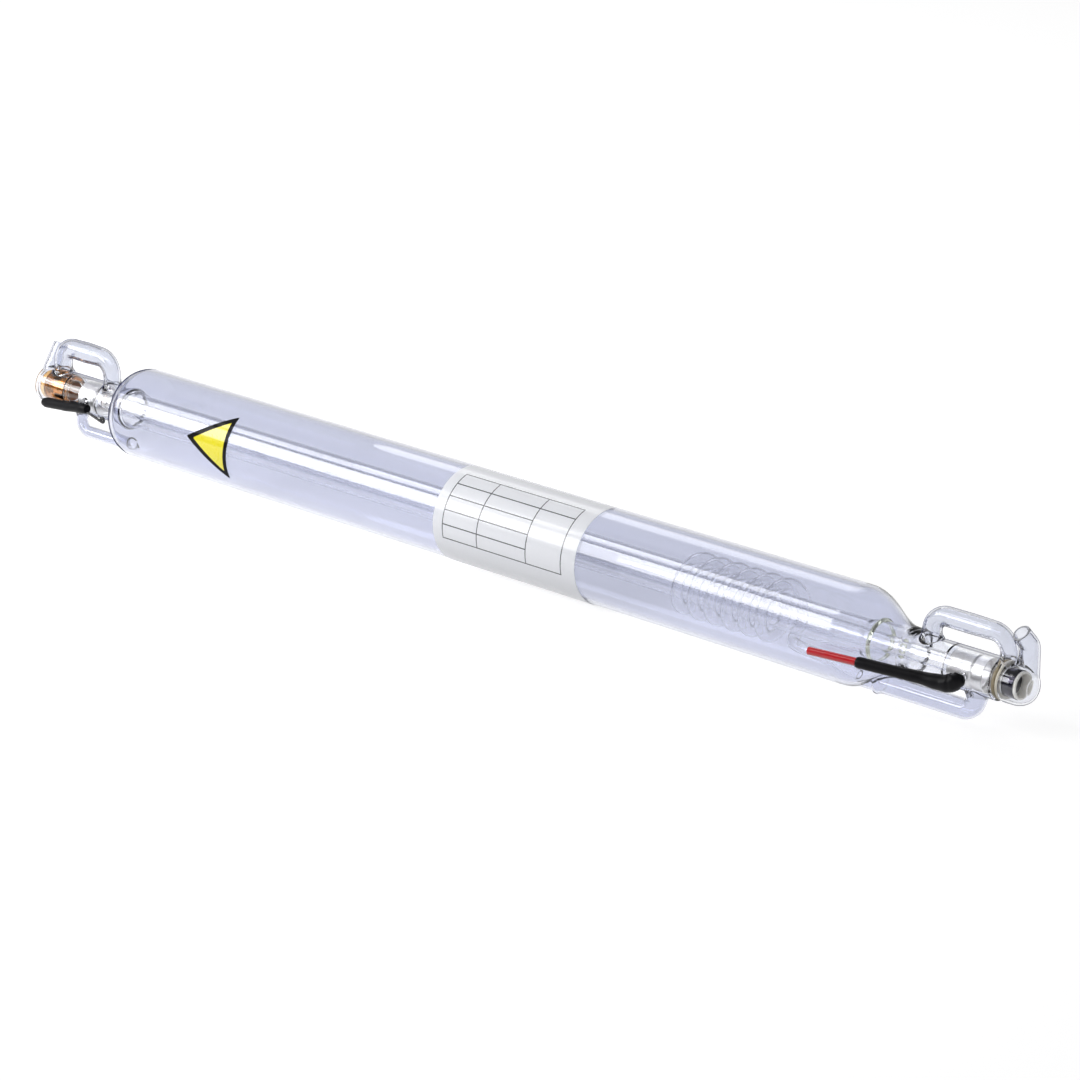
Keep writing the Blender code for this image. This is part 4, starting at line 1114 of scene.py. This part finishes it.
def glass_finish(name, group, colour, streak, edge=None, roughness=0.0, transmission=1.0):
    """Glass that lets most of the light through to what lies behind it. An edge is painted shade: a dark
    colour mixed in on outward faces seen at a slant, with how slanted they are where it begins and where it
    is complete."""
    made = finish_on(name, group, {"Colour": colour, "Streak Colour": streak}, 0.0, Roughness=roughness,
                     Transmission_Weight=transmission, IOR=1.47)
    tree = made.node_tree
    body = tree.nodes["Principled BSDF"].outputs[0]
    if edge:
        # Painted shade: outward faces seen at a slant turn towards a dark matt colour, in place of the dark
        # surroundings seen in the glass there.
        dark, begins, complete = edge
        painted_edge_shade = ramp(tree, node(tree, "ShaderNodeLayerWeight").outputs["Facing"],
                     ((begins, 0.0), (complete, 1.0)))
        inside = node(tree, "ShaderNodeNewGeometry").outputs["Backfacing"]
        outside = maths(tree, "SUBTRACT", painted_edge_shade, inside)
        outside.node.use_clamp = True
        body = mixed(tree, outside, body, node(tree, "ShaderNodeBsdfDiffuse", Color=dark).outputs[0])
    shadow = node(tree, "ShaderNodeLightPath").outputs["Is Shadow Ray"]
    clear = node(tree, "ShaderNodeBsdfTransparent", Color=(0.97, 0.97, 0.98))
    feed(tree, mixed(tree, shadow, body, clear.outputs[0]), tree.nodes["Material Output"].inputs["Surface"])
    return made


def glass_looks():
    streaks = streak_group()
    # The tints are painted shade: the jacket and its gas links are darkened to a lavender grey, the
    # bridges, hose stubs and pin beads a little less, and the necks and caps least, in place of the dim
    # room seen through the glass. The tubes inside and the coil stay clear.
    gas, gas_streak = (0.757, 0.773, 0.859), (0.736, 0.753, 0.846)
    clear, clear_streak = (0.998, 0.998, 0.998), (0.985, 0.987, 0.992)
    # The two dark edge colours are painted shade, put on glass seen at a slant.
    painted_navy_edge, painted_slate_edge = (0.025, 0.03, 0.08), (0.16, 0.17, 0.28)
    glasses = {
        "jacket_glass": (gas, gas_streak),
        "shoulder_glass": (gas, gas_streak, (painted_navy_edge, 0.60, 0.78)),
        "cap_glass": ((0.93, 0.94, 0.97), (0.91, 0.92, 0.96), (painted_slate_edge, 0.66, 0.90)),
        "end_glass": ((0.81, 0.825, 0.88), (0.79, 0.807, 0.868), (painted_slate_edge, 0.62, 0.88)),
        "inner_glass": (clear, clear_streak),
        "coil_glass": (clear, clear_streak),
        "rim_glass": ((0.82, 0.84, 0.90), (0.76, 0.78, 0.85), None, 0.35, 0.5),
        "seam_glass": ((0.86, 0.88, 0.66), (0.55, 0.55, 0.36)),
    }
    return {name: glass_finish(name, streaks, *values) for name, values in glasses.items()}


def metal_looks():
    """Metals by colour, stain, size of the stains, roughness and depth of the tool marks."""
    marks = turned_group()
    metals = {
        "electrode_metal": ((1.0, 0.99, 0.97), (0.84, 0.82, 0.80), 150.0, 0.34, 4e-6),
        "pin_metal": ((0.62, 0.61, 0.60), (0.25, 0.24, 0.24), 400.0, 0.20, 4e-6),
        "copper": ((0.70, 0.29, 0.07), (0.16, 0.07, 0.025), 210.0, 0.12, 6e-6),
        "bright_copper": ((1.0, 0.80, 0.55), (0.95, 0.62, 0.34), 210.0, 0.32, 6e-6),
        "old_copper": ((0.66, 0.25, 0.05), (0.30, 0.10, 0.02), 170.0, 0.14, 6e-6),
        "mirror_face": ((0.065, 0.06, 0.075), (0.03, 0.03, 0.04), 200.0, 0.06, 0.0),
    }
    looks = {}
    for name, (colour, stain, size, rough, bump) in metals.items():
        values = {"Colour": colour, "Stain": stain, "Stain Size": size, "Roughness": rough}
        looks[name] = finish_on(name, marks, values, bump, Metallic=1.0)
    crystal = {"Colour": (0.98, 0.66, 0.28), "Stain": (0.92, 0.52, 0.16), "Stain Size": 120.0,
               "Roughness": 0.02}
    looks["coupler_crystal"] = finish_on("coupler_crystal", marks, crystal, 0.0, IOR=2.4,
                                         Transmission_Weight=0.25)
    return looks


def dull_looks():
    """Resins, paper, inks, film and rubbers by colour, mottle, speck, size of the mottling, roughness
    and depth of the relief, and what else each has."""
    mottle = mottle_group()
    paper_gloss = {"Coat_Weight": 0.6, "Coat_Roughness": 0.10}
    dull = {
        "brown_resin": ((0.45, 0.38, 0.26), (0.33, 0.27, 0.17), (0.18, 0.13, 0.08), 260.0, 0.25, 5e-5, {}),
        "beige_resin": ((0.82, 0.78, 0.68), (0.72, 0.66, 0.54), (0.50, 0.43, 0.32), 300.0, 0.30, 5e-5, {}),
        "mirror_cell": ((0.96, 0.94, 0.86), (0.94, 0.90, 0.79), (0.82, 0.76, 0.64), 500.0, 0.25, 1e-5, {}),
        "label_paper": ((0.93, 0.945, 0.99), (0.915, 0.93, 0.975), (0.90, 0.915, 0.965), 900.0, 0.30,
                        4e-6, paper_gloss),
        "table_ink": ((0.035, 0.04, 0.05), (0.06, 0.065, 0.08), (0.03, 0.03, 0.04), 700.0, 0.30, 0.0,
                      paper_gloss),
        "border_ink": ((0.012, 0.012, 0.012), (0.018, 0.018, 0.02), (0.01, 0.01, 0.01), 600.0, 0.25, 0.0,
                       {"Specular_IOR_Level": 0.0, "Coat_Weight": 0.15, "Coat_Roughness": 0.05}),
        "sticker_film": ((0.90, 0.80, 0.005), (0.87, 0.77, 0.005), (0.85, 0.75, 0.005), 700.0, 0.25, 0.0,
                         {"Coat_Weight": 1.0, "Coat_Roughness": 0.06, "Coat_IOR": 1.5}),
        "tail_wire": ((0.010, 0.010, 0.012), (0.014, 0.014, 0.018), (0.02, 0.02, 0.025), 900.0, 0.12,
                      0.0, {}),
        "heat_shrink": ((0.003, 0.003, 0.004), (0.004, 0.004, 0.006), (0.006, 0.006, 0.008), 600.0, 0.34,
                        3e-5, {"Specular_IOR_Level": 0.14}),
        "red_silicone": ((0.72, 0.012, 0.02), (0.62, 0.010, 0.02), (0.55, 0.01, 0.015), 400.0, 0.14,
                         1e-5, {"Coat_Weight": 0.4, "Coat_Roughness": 0.06}),
    }
    looks = {}
    for name, (colour, mottled, speck, size, rough, bump, more) in dull.items():
        values = {"Colour": colour, "Mottle": mottled, "Speck": speck, "Size": size, "Roughness": rough}
        looks[name] = finish_on(name, mottle, values, bump, **more)
    return looks


# Studio

def make_world():
    """A pale room: bright at its foot and dimmer overhead, white to the camera, with a dark flag at
    each end of the set to draw the edges of the glass."""
    world = bpy.data.worlds.new("studio")
    bpy.context.scene.world = world
    world.use_nodes = True
    tree = world.node_tree
    tree.nodes.clear()
    place = node(tree, "ShaderNodeTexCoord").outputs["Generated"]
    height = node(tree, "ShaderNodeSeparateXYZ", Vector=place).outputs["Z"]
    sideways = node(tree, "ShaderNodeVectorMath", "DOT_PRODUCT", Vector=place)
    sideways.inputs[1].default_value = SCREEN_SIDE
    flag = ramp(tree, maths(tree, "ABSOLUTE", sideways.outputs["Value"]), FLAG_STOPS)
    lit = blend(tree, flag, ramp(tree, height, ROOM_LEVELS), FLAG_COLOUR)
    walls = node(tree, "ShaderNodeBackground", Color=lit).outputs[0]
    white = node(tree, "ShaderNodeBackground", Color=(1.0, 1.0, 1.0)).outputs[0]
    camera_ray = node(tree, "ShaderNodeLightPath").outputs["Is Camera Ray"]
    node(tree, "ShaderNodeOutputWorld", Surface=mixed(tree, camera_ray, walls, white))


def make_floor():
    """A matt floor that glows to the camera and in glass and metal, and keeps its shadow."""
    bm = bmesh.new()
    bmesh.ops.create_grid(bm, x_segments=8, y_segments=8, size=9.0)
    mesh = bpy.data.meshes.new("floor")
    bm.to_mesh(mesh)
    bm.free()
    floor = bpy.data.objects.new("floor", mesh)
    bpy.context.scene.collection.objects.link(floor)
    look = bpy.data.materials.new("floor_white")
    look.use_nodes = True
    tree = look.node_tree
    tree.nodes.clear()
    matt = node(tree, "ShaderNodeBsdfDiffuse", Color=FLOOR_MATT).outputs[0]
    glow = node(tree, "ShaderNodeEmission", Color=FLOOR_GLOW).outputs[0]
    both = node(tree, "ShaderNodeAddShader")
    for shader, socket in zip((matt, glow), both.inputs):
        feed(tree, shader, socket)
    path = node(tree, "ShaderNodeLightPath").outputs
    share = maths(tree, "MAXIMUM", path["Is Camera Ray"], path["Is Transmission Ray"])
    share = maths(tree, "MAXIMUM", share, path["Is Glossy Ray"])
    node(tree, "ShaderNodeOutputMaterial", Surface=mixed(tree, share, matt, both.outputs[0]))
    mesh.materials.append(look)


def strip_light(name, first, last, width, start, end, brightness):
    """A long soft box beside the tube, between two places along X, with an angle at each."""
    tips = [round_axis(x, LIGHT_DISTANCE, angle) for x, angle in ((start, first), (end, last))]
    length = (tips[1] - tips[0]).length
    lamp = bpy.data.lights.new(name, "AREA")
    lamp.shape = "RECTANGLE"
    lamp.size = length
    lamp.size_y = width
    lamp.energy = pi * length * width * brightness
    holder = bpy.data.objects.new(name, lamp)
    bpy.context.scene.collection.objects.link(holder)
    holder.location = (tips[0] + tips[1]) / 2
    along = (tips[1] - tips[0]).normalized()
    back = holder.location - axis_point(holder.location.x)
    back = (back - along * back.dot(along)).normalized()
    holder.rotation_euler = Matrix((along, back.cross(along), back)).transposed().to_euler()


def make_tube():
    make_camera()
    looks = {**glass_looks(), **metal_looks(), **dull_looks()}
    make_cord(looks)
    make_world()
    make_floor()
    for light in LIGHTS:
        strip_light(*light)
    make_blown_glass(looks)
    make_coil(looks["coil_glass"])
    make_rear_seam(looks["seam_glass"])
    make_electrodes(looks)
    make_output_mirror(looks)
    make_rear_mirror(looks)
    make_label(looks)
    make_sticker(looks)
    make_sleeves(looks["heat_shrink"])
    make_tail(looks["tail_wire"])
    scene = bpy.context.scene
    scene.view_settings.view_transform = "Standard"
    scene.cycles.max_bounces = 32
    scene.cycles.transmission_bounces = 32
    scene.cycles.transparent_max_bounces = 40


make_tube()
